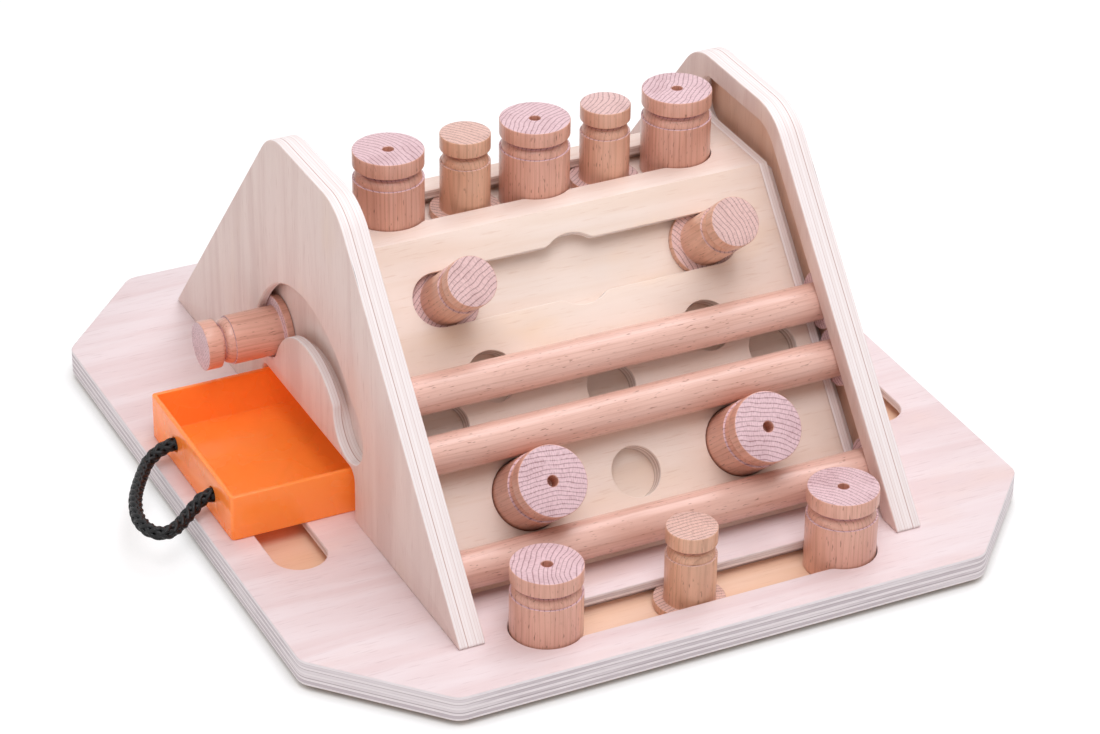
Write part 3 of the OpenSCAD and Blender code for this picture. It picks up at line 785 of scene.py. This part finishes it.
@dataclass
class TurnedPiece:
    """A peg or a slider, turned from one length of beech.

    Attributes:
        node: Name of its solid.
        axis: Where it points.
        log_at: Where it was cut from the log, which sets its grain.
        tint: How yellow its wood is, from 0 to 1.
        flange_r: Radius of its flange. A peg has none, and a hole in its cap.
        lip: Width of the crisp lip round the body's top.
    """

    node: str
    axis: Axis
    log_at: Point
    tint: float = 0.0
    body_r: float = 17.5 * MM
    neck_r: float = 13.0 * MM
    flange_r: float = 0.0
    flange_h: float = 3.9 * MM
    hole_r: float = 2.75 * MM
    hole_depth: float = 10.0 * MM
    length: float = 44.0 * MM
    cap_h: float = 8.0 * MM
    neck_h: float = 2.2 * MM
    shoulder_h: float = 4.6 * MM
    lip: float = 0.95 * MM

    def outline(self) -> Outline:
        """Draws the outline from the foot's middle to the cap's, with softened edges.

        Returns:
            Radius and height of each point.
        """
        top, cap = self.length, self.length - self.cap_h
        shoulder = cap - self.neck_h - self.shoulder_h
        soft, small, tiny, crisp, drill_point = 0.5 * MM, 0.3 * MM, 0.15 * MM, 0.1 * MM, 0.8 * MM
        points: Outline = [(0.0, 0.0), (self.body_r * 0.5, 0.0)]
        if self.flange_r:
            points += arc((self.flange_r - small, small), small, -90, 0, 3)
            points += arc((self.flange_r - soft, self.flange_h - soft), soft, 0, 90, 4)
            points += [(self.body_r + small, self.flange_h), (self.body_r, self.flange_h + small)]
        else:
            points += arc((self.body_r - soft, soft), soft, -90, 0, 4)
        # The lip, and a bead that curves in from it to the neck
        inner = self.body_r - self.lip
        points += [(self.body_r, shoulder - tiny), (self.body_r - tiny, shoulder)]
        points += [(inner - crisp, shoulder), (inner, shoulder + crisp)]
        for angle in range(9, 99, 9):
            a = math.radians(angle)
            points.append((self.neck_r + (inner - self.neck_r) * math.cos(a),
                           shoulder + self.shoulder_h * math.sin(a)))
        points += [(self.neck_r, cap - soft), (self.neck_r + soft, cap)]
        points += arc((self.body_r - soft, cap + soft), soft, -90, 0, 4)
        points += arc((self.body_r - soft, top - soft), soft, 0, 90, 4)
        if self.flange_r:
            return points + [(self.body_r * 0.4, top), (0.0, top)]
        deep = top - self.hole_depth
        return points + [(self.hole_r + small, top), (self.hole_r, top - small),
                         (self.hole_r, deep + drill_point), (0.0, deep)]

    def make(self, nodes: Nodes, wood: Material) -> None:
        """Makes the piece where its solid stands.

        Args:
            nodes: The frame's solids by name.
            wood: The beech.
        """
        place = seat(nodes[self.node], self.axis.value)
        piece = Lathe(self.outline()).spin(f"{self.node}_turned", place, self.log_at, wood, self.tint)
        stand_for(piece, f"{self.node}_body", self.node)


def slider(node: str, axis: Axis, log_at: Point, tint: float = 0.0) -> TurnedPiece:
    """Returns a slider: a thinner body on a wide flange, without a hole in its cap."""
    return TurnedPiece(node, axis, log_at, tint, body_r=12.5 * MM, neck_r=8.5 * MM, flange_r=17.5 * MM)


@dataclass
class TurnedSet:
    """All pegs and sliders, each cut from another place in the log."""

    pieces: tuple[TurnedPiece, ...] = (
        TurnedPiece("deck_peg_left", Axis.UP, (0.034, 0.012, 0.0)),
        TurnedPiece("deck_peg_middle", Axis.UP, (-0.03, 0.043, 0.4)),
        TurnedPiece("deck_peg_right", Axis.UP, (0.05, -0.05, 0.9)),
        TurnedPiece("slope_peg_left", Axis.SLOPE, (0.008, 0.07, 1.3)),
        TurnedPiece("slope_peg_right", Axis.SLOPE, (0.02, 0.055, 1.7)),
        TurnedPiece("base_peg_left", Axis.UP, (-0.045, 0.03, 2.1)),
        TurnedPiece("base_peg_right", Axis.UP, (0.05, 0.036, 2.6)),
        slider("deck_slider_left", Axis.UP, (0.046, 0.028, 3.1), 0.45),
        slider("deck_slider_right", Axis.UP, (0.04, -0.036, 3.5), 0.25),
        slider("slope_slider_left", Axis.SLOPE, (-0.03, 0.05, 3.9), 0.2),
        slider("slope_slider_right", Axis.SLOPE, (0.052, 0.02, 4.4), 0.3),
        slider("base_slider", Axis.UP, (0.0, 0.062, 4.8), 0.45),
        slider("arch_slider_left", Axis.LEFT, (0.04, 0.04, 5.2)),
        slider("arch_slider_right", Axis.RIGHT, (0.03, -0.05, 5.7)),
    )

    def make(self, nodes: Nodes, finishes: Finishes) -> None:
        """Makes every peg and slider."""
        for piece in self.pieces:
            piece.make(nodes, finishes.turned)


@dataclass
class Roller:
    """A dowel across the slope with a disc on each end, which runs in the side panels.

    Attributes:
        name: upper, middle or lower.
        log_at: Where the dowel was cut from the log.
    """

    name: str
    log_at: Point
    rod_r: float = 9.5 * MM
    disc_r: float = 14.5 * MM
    disc_h: float = 3.9 * MM
    disc_x: float = 114.8 * MM
    segments: int = 72

    def make(self, nodes: Nodes, finishes: Finishes) -> None:
        """Makes the dowel and its discs on the roller's body.

        Args:
            nodes: The frame's solids by name.
            finishes: The materials.
        """
        node, body = f"rod_{self.name}", f"rod_{self.name}_body"
        place = seat(nodes[node], Axis.RIGHT.value)
        low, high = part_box(node)
        length, soft, steps = high.x - low.x, 0.3 * MM, 24
        outline = [(0.0, 0.0), (self.rod_r - soft, 0.0), (self.rod_r, soft)]
        outline += [(self.rod_r, length * i / steps) for i in range(1, steps)]
        outline += [(self.rod_r, length - soft), (self.rod_r - soft, length), (0.0, length)]
        rod = Lathe(outline, self.segments).spin(f"{node}_dowel", place, self.log_at, finishes.dowel)
        stand_for(rod, body, node)
        discs = join(f"{node}_discs_turned", [self.disc(side, place, finishes.turned) for side in Side])
        stand_for(discs, body, f"{node}_discs")

    def disc(self, side: Side, place: Matrix, wood: Material) -> bpy.types.Object:
        """Makes one end disc with softened edges.

        Args:
            side: The end that it is on.
            place: The dowel's place.
            wood: The beech.

        Returns:
            The loose disc.
        """
        soft = 0.5 * MM
        outline = [(0.0, 0.0)] + arc((self.disc_r - soft, soft), soft, -90, 0, 4)
        outline += arc((self.disc_r - soft, self.disc_h - soft), soft, 0, 90, 4) + [(0.0, self.disc_h)]
        start = self.disc_x if side is Side.RIGHT else -self.disc_x - self.disc_h
        shift = Matrix.Translation((0, 0, start - place.translation.x))
        log_at = (self.log_at[0], -self.log_at[1], 0.5 + side.value)
        return Lathe(outline, self.segments).spin(f"disc_{side.label}", place @ shift, log_at, wood)


# ---- Boards ----


@dataclass
class Board:
    """A sheet of a board whose open face gets softened edges.

    Attributes:
        node: Name of its solid.
        facing: Outward direction of the open face.
        slot: Name of a material slot for the board; not used.
        radius: Rounding of the face's edges.
        mitre_y: Where an edge along X meets another board's mitre, and stays sharp.
        inside: Ply of the face that looks the other way, where that is another one: for the panels, the same birch
            painted warmer as painted bounce light.
    """

    node: str
    facing: Point
    slot: str
    radius: float = 0.5 * MM
    mitre_y: float | None = None
    inside: Material | None = None

    def make(self, nodes: Nodes, material: Material) -> None:
        """Makes the softened sheet in place of its solid.

        Args:
            nodes: The frame's solids by name.
            material: Its ply.
        """
        out, solid = Vector(self.facing), nodes[self.node]
        reach = max(v.co.dot(out) for v in solid.data.vertices)

        def on_rim(edge: bmesh.types.BMEdge) -> bool:
            """Tells whether an edge bounds the open face, away from a mitre.

            Args:
                edge: An edge of the solid's copy.

            Returns:
                Whether it is rounded.
            """
            if self.mitre_y is not None and all(abs(v.co.y - self.mitre_y) < 0.1 * MM for v in edge.verts):
                return False
            level = all(v.co.dot(out) > reach - 0.01 * MM for v in edge.verts)
            return level and edge.calc_face_angle(0.0) > math.radians(30)

        piece = soften(solid, f"{self.node}_softened", material, self.radius, on_rim)
        if self.inside:
            piece.data.materials.append(self.inside)
            for face in piece.data.polygons:
                face.material_index = int(face.normal.dot(out) < -0.5)
        sharpen(piece.data, 30.0)
        stand_for(piece, "frame", self.node)


@dataclass
class Boards:
    """The base, the side panels, the slope board, the deck and the back board.

    Attributes:
        base_soft, panel_soft, board_soft: Rounding of the edges of each kind of board.
    """

    base_soft: float = 0.7 * MM
    panel_soft: float = 0.9 * MM
    board_soft: float = 0.4 * MM

    def make(self, nodes: Nodes, finishes: Finishes) -> None:
        """Softens the open sheets and dresses the hidden ones.

        Args:
            nodes: The frame's solids by name.
            finishes: The materials.
        """
        deck = nodes["deck_top_sheet"].data.vertices
        deck_top = max(v.co.z for v in deck)
        mitre_y = min(v.co.y for v in deck if v.co.z > deck_top - 0.01 * MM)
        sheets = [
            (Board("base_top_sheet", UP, "birch_base", self.base_soft), finishes.base),
            (Board("base_bottom_sheet", (0.0, 0.0, -1.0), "birch_base", self.base_soft), finishes.base_floor),
        ]
        for side in Side:
            out = float(side.value)
            # The outer sheet's inside face gets the ply painted with bounce light
            outer = Board(f"{side.label}_outer_sheet", (out, 0.0, 0.0), "birch_panel", self.panel_soft,
                          inside=finishes.track)
            inner = Board(f"{side.label}_inner_sheet", (-out, 0.0, 0.0), "birch_panel", self.panel_soft)
            sheets += [(outer, finishes.panel), (inner, finishes.panel)]
        sheets += [
            (Board("slope_top_sheet", OUT_OF_SLOPE, "birch_board", self.board_soft, mitre_y), finishes.slope),
            (Board("deck_top_sheet", UP, "birch_board", self.board_soft, mitre_y), finishes.deck),
            (Board("back_board", OUT_OF_BACK, "birch_board", self.board_soft), finishes.back),
        ]
        for board, ply in sheets:
            board.make(nodes, ply)
        hidden = {
            "base_core_sheet": finishes.base, "left_core_sheet": finishes.panel,
            "right_core_sheet": finishes.panel, "slope_core_sheet": finishes.slope,
            "slope_bottom_sheet": finishes.slope, "deck_core_sheet": finishes.deck,
            "deck_bottom_sheet": finishes.deck, "drawer_guide_front": finishes.rail,
            "drawer_guide_back": finishes.rail, "drawer_stop": finishes.rail,
        }
        for name, ply in hidden.items():
            nodes[name].data.materials.clear()
            nodes[name].data.materials.append(ply)
            LOG.info("solid %s", name)


# ---- Drawers ----


@dataclass
class Drawer:
    """A moulded tray: the solid's shape with rounded edges.

    Attributes:
        side: Left or right.
        radius: Rounding of its edges.
    """

    side: Side
    radius: float = 0.5 * MM

    def make(self, nodes: Nodes, finishes: Finishes) -> None:
        """Makes the tray on its body.

        Args:
            nodes: The frame's solids by name.
            finishes: The materials.
        """
        node = f"drawer_{self.side.label}"
        tray = soften(nodes[node], f"{node}_moulded", finishes.plastic, self.radius,
                      lambda edge: edge.calc_face_angle(0.0) > math.radians(50))
        sharpen(tray.data, 30.0)
        stand_for(tray, f"{node}_body", node)


# ---- Rope pulls ----


@dataclass
class Braid:
    """Sweeps strands over and under each other along a curve.

    Attributes:
        radius: Outer radius of the rope.
        strand: Radius of one strand.
        strands: Number of strands, half of them turning each way.
        lay: Length in which a strand goes once round.
        step: Distance between two rings of a strand.
    """

    radius: float = 3.65 * MM
    strand: float = 1.25 * MM
    strands: int = 8
    lay: float = 21.0 * MM
    step: float = 0.8 * MM

    def tree(self) -> bpy.types.GeometryNodeTree:
        """Builds the Geometry Nodes tree, with its sizes as named inputs.

        Returns:
            The tree.
        """
        tree = new_tree("braid_along_curve", "Braid", Curve="Geometry", Radius="Float", Strand_radius="Float",
                        Lay="Float", Step="Float", Strands="Int", Material="Material")
        add = partial(add_node, tree)
        given = add("NodeGroupInput").outputs
        line = add("GeometryNodeResampleCurve", mode="LENGTH",
                   named={"Curve": given["Curve"], "Length": given["Step"]})
        copies = add("GeometryNodeDuplicateElements", domain="SPLINE",
                     named={"Geometry": line, "Amount": given["Strands"]})
        number = copies.outputs["Duplicate Index"]
        # Odd strands turn one way, even ones the other; the pairs start evenly spread round the rope
        way = add(MATH, add(MATH, number, 2.0, operation="MODULO"), 2.0, -1.0, operation="MULTIPLY_ADD")
        pair = add(MATH, add(MATH, number, 2.0, operation="DIVIDE"), operation="FLOOR")
        spread = add(MATH, 2 * math.tau, given["Strands"], operation="DIVIDE")
        turns = add(MATH, add("GeometryNodeSplineParameter").outputs["Length"], given["Lay"], operation="DIVIDE")
        turned = add(MATH, way, add(MATH, turns, math.tau, operation="MULTIPLY"), operation="MULTIPLY")
        angle = add(MATH, pair, spread, turned, operation="MULTIPLY_ADD")
        # A strand rises and dips once for each pair of crossings
        beat = add(MATH, add(MATH, angle, way, operation="MULTIPLY"),
                   add(MATH, given["Strands"], 4.0, operation="DIVIDE"), operation="MULTIPLY")
        wave = add(MATH, way, add(MATH, beat, operation="COSINE"), operation="MULTIPLY")
        middle = add(MATH, given["Strand radius"], -1.25, given["Radius"], operation="MULTIPLY_ADD")
        swing = add(MATH, given["Strand radius"], 0.25, operation="MULTIPLY")
        reach = add(MATH, wave, swing, middle, operation="MULTIPLY_ADD")
        normal = add("GeometryNodeInputNormal").outputs[0]
        side = add(VECTOR, add("GeometryNodeInputTangent"), normal, operation="CROSS_PRODUCT")
        shares = [add(MATH, reach, add(MATH, angle, operation=name), operation="MULTIPLY")
                  for name in ("COSINE", "SINE")]
        first, second = (add(VECTOR, way_out, share, operation="SCALE")
                         for way_out, share in zip((normal, side), shares))
        moved = add("GeometryNodeSetPosition",
                    named={"Geometry": copies, "Offset": add(VECTOR, first, second, operation="ADD")})
        ring = add("GeometryNodeCurvePrimitiveCircle", named={"Resolution": 10, "Radius": given["Strand radius"]})
        tube = add("GeometryNodeCurveToMesh", named={"Curve": moved, "Profile Curve": ring, "Fill Caps": True})
        smooth = add("GeometryNodeSetShadeSmooth", tube)
        real = add("GeometryNodeRealizeInstances", smooth)
        dressed = add("GeometryNodeSetMaterial", named={"Geometry": real, "Material": given["Material"]})
        add("NodeGroupOutput", dressed)
        return tree

    def along(self, name: str, points: list[Point], tree: bpy.types.GeometryNodeTree, material: Material
              ) -> bpy.types.Object:
        """Braids a rope along points.

        Args:
            name: Name of the piece.
            points: The rope's middle line.
            tree: The braiding tree.
            material: The rope's material.

        Returns:
            A plain mesh object.
        """
        curve = bpy.data.curves.new(f"{name}_line", "CURVE")
        curve.dimensions = "3D"
        spline = curve.splines.new("POLY")
        spline.points.add(len(points) - 1)
        for i, point in enumerate(points):
            spline.points[i].co = (*point, 1.0)
        values = {"Radius": self.radius, "Strand radius": self.strand, "Lay": self.lay, "Step": self.step,
                  "Strands": self.strands, "Material": material}
        return grow(name, linked(f"{name}_line", curve), tree, values)


@dataclass
class RopePull:
    """The rope loop of a drawer, with a flat melted stop behind each hole.

    Attributes:
        side: Left or right.
        face_x: Distance of the drawer's front face from the middle.
        hole_up: Height of the rope holes above the base.
        wobble: Share of the radius by which a stop's rim is uneven, either way.
        route: How far out of the front face, along Y, and above the base, in millimetres.
    """

    side: Side
    face_x: float
    wall: float = 2.4 * MM
    hole_y: float = 25.0 * MM
    hole_up: float = 12.4 * MM
    rope_d: float = 7.3 * MM
    stop_d: float = 11.0 * MM
    stop_len: float = 5.0 * MM
    wobble: float = 0.035
    route: tuple[Point, ...] = (
        (-2.4, 25, 12.4), (2, 26, 12), (5.5, 27, 10.3), (10, 27, 8), (15, 24.5, 5.6), (20, 18, 4.4),
        (25, 10, 4.1), (30, 0.5, 4.1), (33.5, -9, 4.1), (35.5, -17.5, 4.1), (35.5, -25.5, 4.1),
        (33.5, -32, 4.1), (29.5, -35.5, 4.1), (24.5, -35, 4.1), (19, -31.5, 4.3), (13.5, -27.5, 5.6),
        (8.5, -25, 8), (4, -24.4, 11), (-2.4, -25, 12.4),
    )

    def place(self, out: float, y: float, up: float) -> Point:
        """Returns the place of a point so far out of the front face and above the base."""
        return (self.side.value * (self.face_x + out), y, BASE_TOP + up)

    def line(self, steps: int = 8) -> list[Point]:
        """Draws the rope's middle line, smooth through the route's points.

        Args:
            steps: Points for each stretch.

        Returns:
            The points in the row frame.
        """
        knots = [Vector(self.place(*(c * MM for c in point))) for point in self.route]
        points: list[Point] = []
        for i in range(len(knots) - 1):
            p0, p1, p2, p3 = knots[max(i - 1, 0)], knots[i], knots[i + 1], knots[min(i + 2, len(knots) - 1)]
            for t in (k / steps for k in range(steps)):
                points.append(tuple(0.5 * (2 * p1 + (p2 - p0) * t + (2 * p0 - 5 * p1 + 4 * p2 - p3) * t * t
                                           + (3 * p1 - p0 - 3 * p2 + p3) * t ** 3)))
        points.append(tuple(knots[-1]))
        return points

    def stop(self, y: float, material: Material) -> bpy.types.Object:
        """Makes a melted stop: a flat button with an uneven rim, domed towards the drawer's inside.

        Args:
            y: Where its rope hole is.
            material: The melted rope.

        Returns:
            The loose stop.
        """
        turns, full = 40, self.stop_d / 2
        # Share of the radius and of the length at each ring
        outline = [(0.93, 0.0), (0.985, 0.12), (1.0, 0.3), (0.99, 0.5), (0.95, 0.65), (0.86, 0.8), (0.66, 0.93),
                   (0.35, 0.99)]
        points = [self.place(-self.wall, y, self.hole_up)]
        for share, out in outline:
            for a in (math.tau * k / turns for k in range(turns)):
                uneven = 1.0 - self.wobble * (1.0 + math.sin(3 * a + y * 90) * math.cos(2 * a + out * 4))
                reach = full * share * uneven
                points.append(self.place(-self.wall - out * self.stop_len, y + reach * math.cos(a),
                                         self.hole_up + reach * math.sin(a)))
        points.append(self.place(-self.wall - self.stop_len, y, self.hole_up))
        faces = ring_faces(len(outline), turns)
        if self.side is Side.LEFT:
            faces = [face[::-1] for face in faces]
        return mesh_object("stop", points, faces, material)

    def make(self, tree: bpy.types.GeometryNodeTree, finishes: Finishes) -> None:
        """Makes the braided loop and its stops on the drawer's body.

        Args:
            tree: The braiding tree.
            finishes: The materials.
        """
        label, body = self.side.label, f"drawer_{self.side.label}_body"
        line = self.line()
        rope = Braid().along(f"rope_{label}_braided", line, tree, finishes.rope)
        stand_for(rope, body, f"rope_{label}")
        stops = [self.stop(y, finishes.melted) for y in (self.hole_y, -self.hole_y)]
        knots = join(f"rope_knots_{label}_melted", stops)
        stand_for(knots, body, f"rope_knots_{label}")


# ---- Feet and screws ----


@dataclass
class Fasteners:
    """The rubber feet and the countersunk screws under the base."""

    foot_r: float = 10.0 * MM
    foot_h: float = 3.0 * MM
    foot_soft: float = 0.8 * MM
    foot_at: tuple[float, float] = (131.0 * MM, 151.0 * MM)
    screw_x: float = 116.75 * MM
    screw_y: tuple[float, ...] = (-105 * MM, 75 * MM, 145 * MM)
    screw_len: float = 31.5 * MM
    screw_turn: float = 0.7
    head_r: float = 3.75 * MM
    shank_r: float = 1.75 * MM
    core_r: float = 1.3 * MM
    pitch: float = 1.4 * MM
    cross: tuple[float, float] = (1.0 * MM, 4.4 * MM)

    def tree(self) -> bpy.types.GeometryNodeTree:
        """Builds the tree that sets a copy of a piece on each point, each turned a little more.

        Returns:
            The tree.
        """
        tree = new_tree("copies_on_points", "Copies", Points="Geometry", Piece="Object", Material="Material",
                        Turn="Float")
        add = partial(add_node, tree)
        given = add("NodeGroupInput").outputs
        piece = add("GeometryNodeObjectInfo", named={"Object": given["Piece"]}).outputs["Geometry"]
        turn = add(MATH, add("GeometryNodeInputIndex"), given["Turn"], operation="MULTIPLY")
        copies = add("GeometryNodeInstanceOnPoints", named={
            "Points": given["Points"], "Instance": piece, "Rotation": add(COMBINE, 0.0, 0.0, turn)})
        real = add("GeometryNodeRealizeInstances", copies)
        dressed = add("GeometryNodeSetMaterial", named={"Geometry": real, "Material": given["Material"]})
        add("NodeGroupOutput", dressed)
        return tree

    def foot(self, material: Material) -> bpy.types.Object:
        """Makes one foot: a low rubber button with a rounded lower edge.

        Args:
            material: The rubber.

        Returns:
            The foot, standing on the origin.
        """
        r, h, soft = self.foot_r, self.foot_h, self.foot_soft
        outline = [(0.0, 0.0), (r * 0.45, 0.0)] + arc((r - soft, soft), soft, -90, 0, 6) + [(r, h), (0.0, h)]
        return Lathe(outline, 48).spin("foot", Matrix.Identity(4), (0.0, 0.0, 0.0), material)

    def screw(self, material: Material) -> bpy.types.Object:
        """Makes one screw, head down: a countersunk head with a cross recess, and a threaded shank.

        Args:
            material: The steel.

        Returns:
            The screw, with its head on the origin.
        """
        rim, cone, neck, tip, runout = 0.2 * MM, self.head_r - self.shank_r, 2 * MM, 3 * MM, 1 * MM
        outline = [(0.0, 0.0), (self.head_r - rim, 0.0), (self.head_r, rim), (self.shank_r, cone)]
        z = cone + neck
        while z < self.screw_len - tip - runout:
            outline += [(self.shank_r, z), (self.core_r, z + 0.35 * self.pitch), (self.core_r, z + 0.8 * self.pitch)]
            z += self.pitch
        outline += [(self.core_r, self.screw_len - tip), (0.0, self.screw_len)]
        screw = Lathe(outline, 32).spin("screw", Matrix.Identity(4), (0.0, 0.0, 0.0), material)
        for width, length in (self.cross, self.cross[::-1]):
            cutter = mesh_object("cross", *self.wedge(width, length), material)
            cut = screw.modifiers.new("cross", "BOOLEAN")
            cut.operation, cut.object, cut.solver = "DIFFERENCE", cutter, "EXACT"
            graph = bpy.context.evaluated_depsgraph_get()
            mesh = bpy.data.meshes.new_from_object(screw.evaluated_get(graph), depsgraph=graph)
            screw.modifiers.clear()
            screw.data = mesh
            bpy.data.objects.remove(cutter)
        sharpen(screw.data, 35.0)
        return screw

    def wedge(self, width: float, length: float) -> tuple[list[Point], list[tuple[int, ...]]]:
        """Draws one arm of the cross, narrower at its bottom.

        Args:
            width: Its width at the head's face.
            length: Its length there.

        Returns:
            Its points and faces.
        """
        w, d, low, deep, taper = width / 2, length / 2, -0.5 * MM, 1.7 * MM, 0.55
        points = [(s * w * k, t * d * k, z) for z, k in ((low, 1.0), (deep, taper))
                  for s, t in ((-1, -1), (1, -1), (1, 1), (-1, 1))]
        faces = [(3, 2, 1, 0), (4, 5, 6, 7), (0, 1, 5, 4), (1, 2, 6, 5), (2, 3, 7, 6), (3, 0, 4, 7)]
        return points, faces

    def make(self, finishes: Finishes) -> None:
        """Makes the feet and the screws on the frame.

        Args:
            finishes: The materials.
        """
        tree = self.tree()
        x, y = self.foot_at
        feet = [(sx * x, sy * y, 0.0) for sx in (-1, 1) for sy in (-1, 1)]
        screws = [(sx * self.screw_x, sy, self.foot_h) for sx in (-1, 1) for sy in self.screw_y]
        for name, node, slot, points, build, material, turn in (
            ("feet_moulded", "feet", "foot_rubber", feet, self.foot, finishes.rubber, 0.0),
            ("base_screws_plated", "base_screws", "screw_steel", screws, self.screw, finishes.steel, self.screw_turn),
        ):
            model = build(material)
            holder = mesh_object(f"{name}_points", points, [], material)
            piece = grow(name, holder, tree, {"Piece": model, "Material": material, "Turn": turn})
            bpy.data.objects.remove(model)
            stand_for(piece, "frame", node)


# ---- Studio ----


@dataclass
class Studio:
    """Camera, lamps, world and floor.

    Attributes:
        camera_at, target, lens, sensor, roll: The camera that was fitted to the photograph.
        lamps: Name, place, size, power and colour of each soft box.
        sky, sky_strength: Colour and strength of the soft light from all round.
        floor_reach: Half the width of the floor.
        floor_glow: Share of the floor that glows white for the rays that show it.
    """

    camera_at: Point = (-714.24 * MM, -1459.18 * MM, 1009.24 * MM)
    target: Point = (2.9 * MM, -14.53 * MM, 48.08 * MM)
    lens: float = 122.12
    sensor: float = 36.0
    roll: float = 0.0141
    lamps: tuple[tuple[str, Point, float, float, str], ...] = (
        ("key", (-0.3, -0.95, 2.3), 1.3, 26.0, "#FBFAFF"),
        ("top", (0.65, 0.25, 1.9), 1.3, 16.5, "#FBFAFF"),
        ("left", (-1.7, -0.3, 0.7), 1.2, 2.6, "#FFF8F8"),
    )
    sky: tuple[float, float, float, float] = (1.0, 0.95, 0.93, 1.0)
    sky_strength: float = 0.38
    floor_reach: float = 6.0
    floor_glow: float = 0.62

    def aim(self, at: Point, target: Point) -> Matrix:
        """Returns the matrix of something that stands at a point and looks at another."""
        look = (Vector(target) - Vector(at)).to_track_quat("-Z", "Y").to_matrix().to_4x4()
        return Matrix.Translation(at) @ look

    def camera(self) -> None:
        """Makes the camera at the photograph's place."""
        data = bpy.data.cameras.new("camera")
        data.lens, data.sensor_width, data.sensor_fit = self.lens, self.sensor, "HORIZONTAL"
        data.clip_start, data.clip_end = 0.05, 50.0
        camera = linked("camera", data)
        camera.matrix_world = self.aim(self.camera_at, self.target) @ Matrix.Rotation(self.roll, 4, "Z")
        bpy.context.scene.camera = camera

    def showing_rays(self, add: Add) -> bpy.types.Node:
        """Finds the rays that show the background: the camera's, and gloss and glass.

        Args:
            add: Adds a node to the tree.

        Returns:
            The node that gives 1 for them.
        """
        path = add("ShaderNodeLightPath").outputs
        clear = add(MATH, path["Is Glossy Ray"], path["Is Transmission Ray"], operation="MAXIMUM")
        return add(MATH, path["Is Camera Ray"], clear, operation="MAXIMUM")

    def lights(self) -> None:
        """Makes the lamps and the world, which looks white and lights the feeder softly."""
        for name, at, size, power, colour in self.lamps:
            data = bpy.data.lights.new(name, "AREA")
            data.shape, data.size, data.energy, data.color = "SQUARE", size, power, linear(colour)[:3]
            linked(name, data).matrix_world = self.aim(at, (0.0, 0.0, 0.05))
        world = bpy.data.worlds.new("studio")
        world.use_nodes = True
        world.node_tree.nodes.clear()
        add = partial(add_node, world.node_tree)
        soft = add("ShaderNodeBackground", self.sky, self.sky_strength)
        white = add("ShaderNodeBackground", (1.0, 1.0, 1.0, 1.0), 1.0)
        add("ShaderNodeOutputWorld", add("ShaderNodeMixShader", self.showing_rays(add), soft, white))
        bpy.context.scene.world = world
        bpy.context.scene.view_settings.view_transform = "Standard"

    def floor(self) -> None:
        """Makes the white paper floor, which keeps a light shadow."""
        material, add = new_material("white_paper_floor")
        paper = add("ShaderNodeBsdfDiffuse", (0.98, 0.98, 0.98, 1.0))
        # The glow that keeps the paper white fades out where the feeder stands close above it: a painted contact
        # shadow, darkest in the gap under the base's edge
        near = add("ShaderNodeAmbientOcclusion", samples=8, named={"Distance": 14 * MM}).outputs["AO"]
        glow = add("ShaderNodeEmission", (1.0, 1.0, 1.0, 1.0), add(RANGE, near, 0.1, 0.7, 0.0, 1.12))
        share = add(MATH, self.showing_rays(add), self.floor_glow, operation="MULTIPLY")
        add(OUTPUT, add("ShaderNodeMixShader", share, paper, glow))
        r = self.floor_reach
        corners = [(-r, -r, 0.0), (r, -r, 0.0), (r, r, 0.0), (-r, r, 0.0)]
        mesh_object("floor", corners, [(0, 1, 2, 3)], material)


def main() -> None:
    """Builds the whole scene around the frame."""
    logging.basicConfig(level=logging.INFO, format="%(name)s: %(message)s")
    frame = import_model()
    nodes = frame["nodes"]
    studio = Studio()
    studio.camera()
    finishes = Finishes()
    braiding = Braid().tree()
    # The left drawer stands 60.7 mm open, the right one is closed
    RopePull(Side.LEFT, PANEL_OUTSIDE + 60.7 * MM).make(braiding, finishes)
    RopePull(Side.RIGHT, PANEL_OUTSIDE).make(braiding, finishes)
    Boards().make(nodes, finishes)
    TurnedSet().make(nodes, finishes)
    for roller in (Roller("upper", (0.05, 0.03, 6.0)), Roller("middle", (0.03, 0.052, 7.0)),
                   Roller("lower", (-0.05, 0.04, 8.0))):
        roller.make(nodes, finishes)
    for side in Side:
        Drawer(side).make(nodes, finishes)
    Fasteners().make(finishes)
    studio.lights()
    studio.floor()


if __name__ == "__main__":
    main()
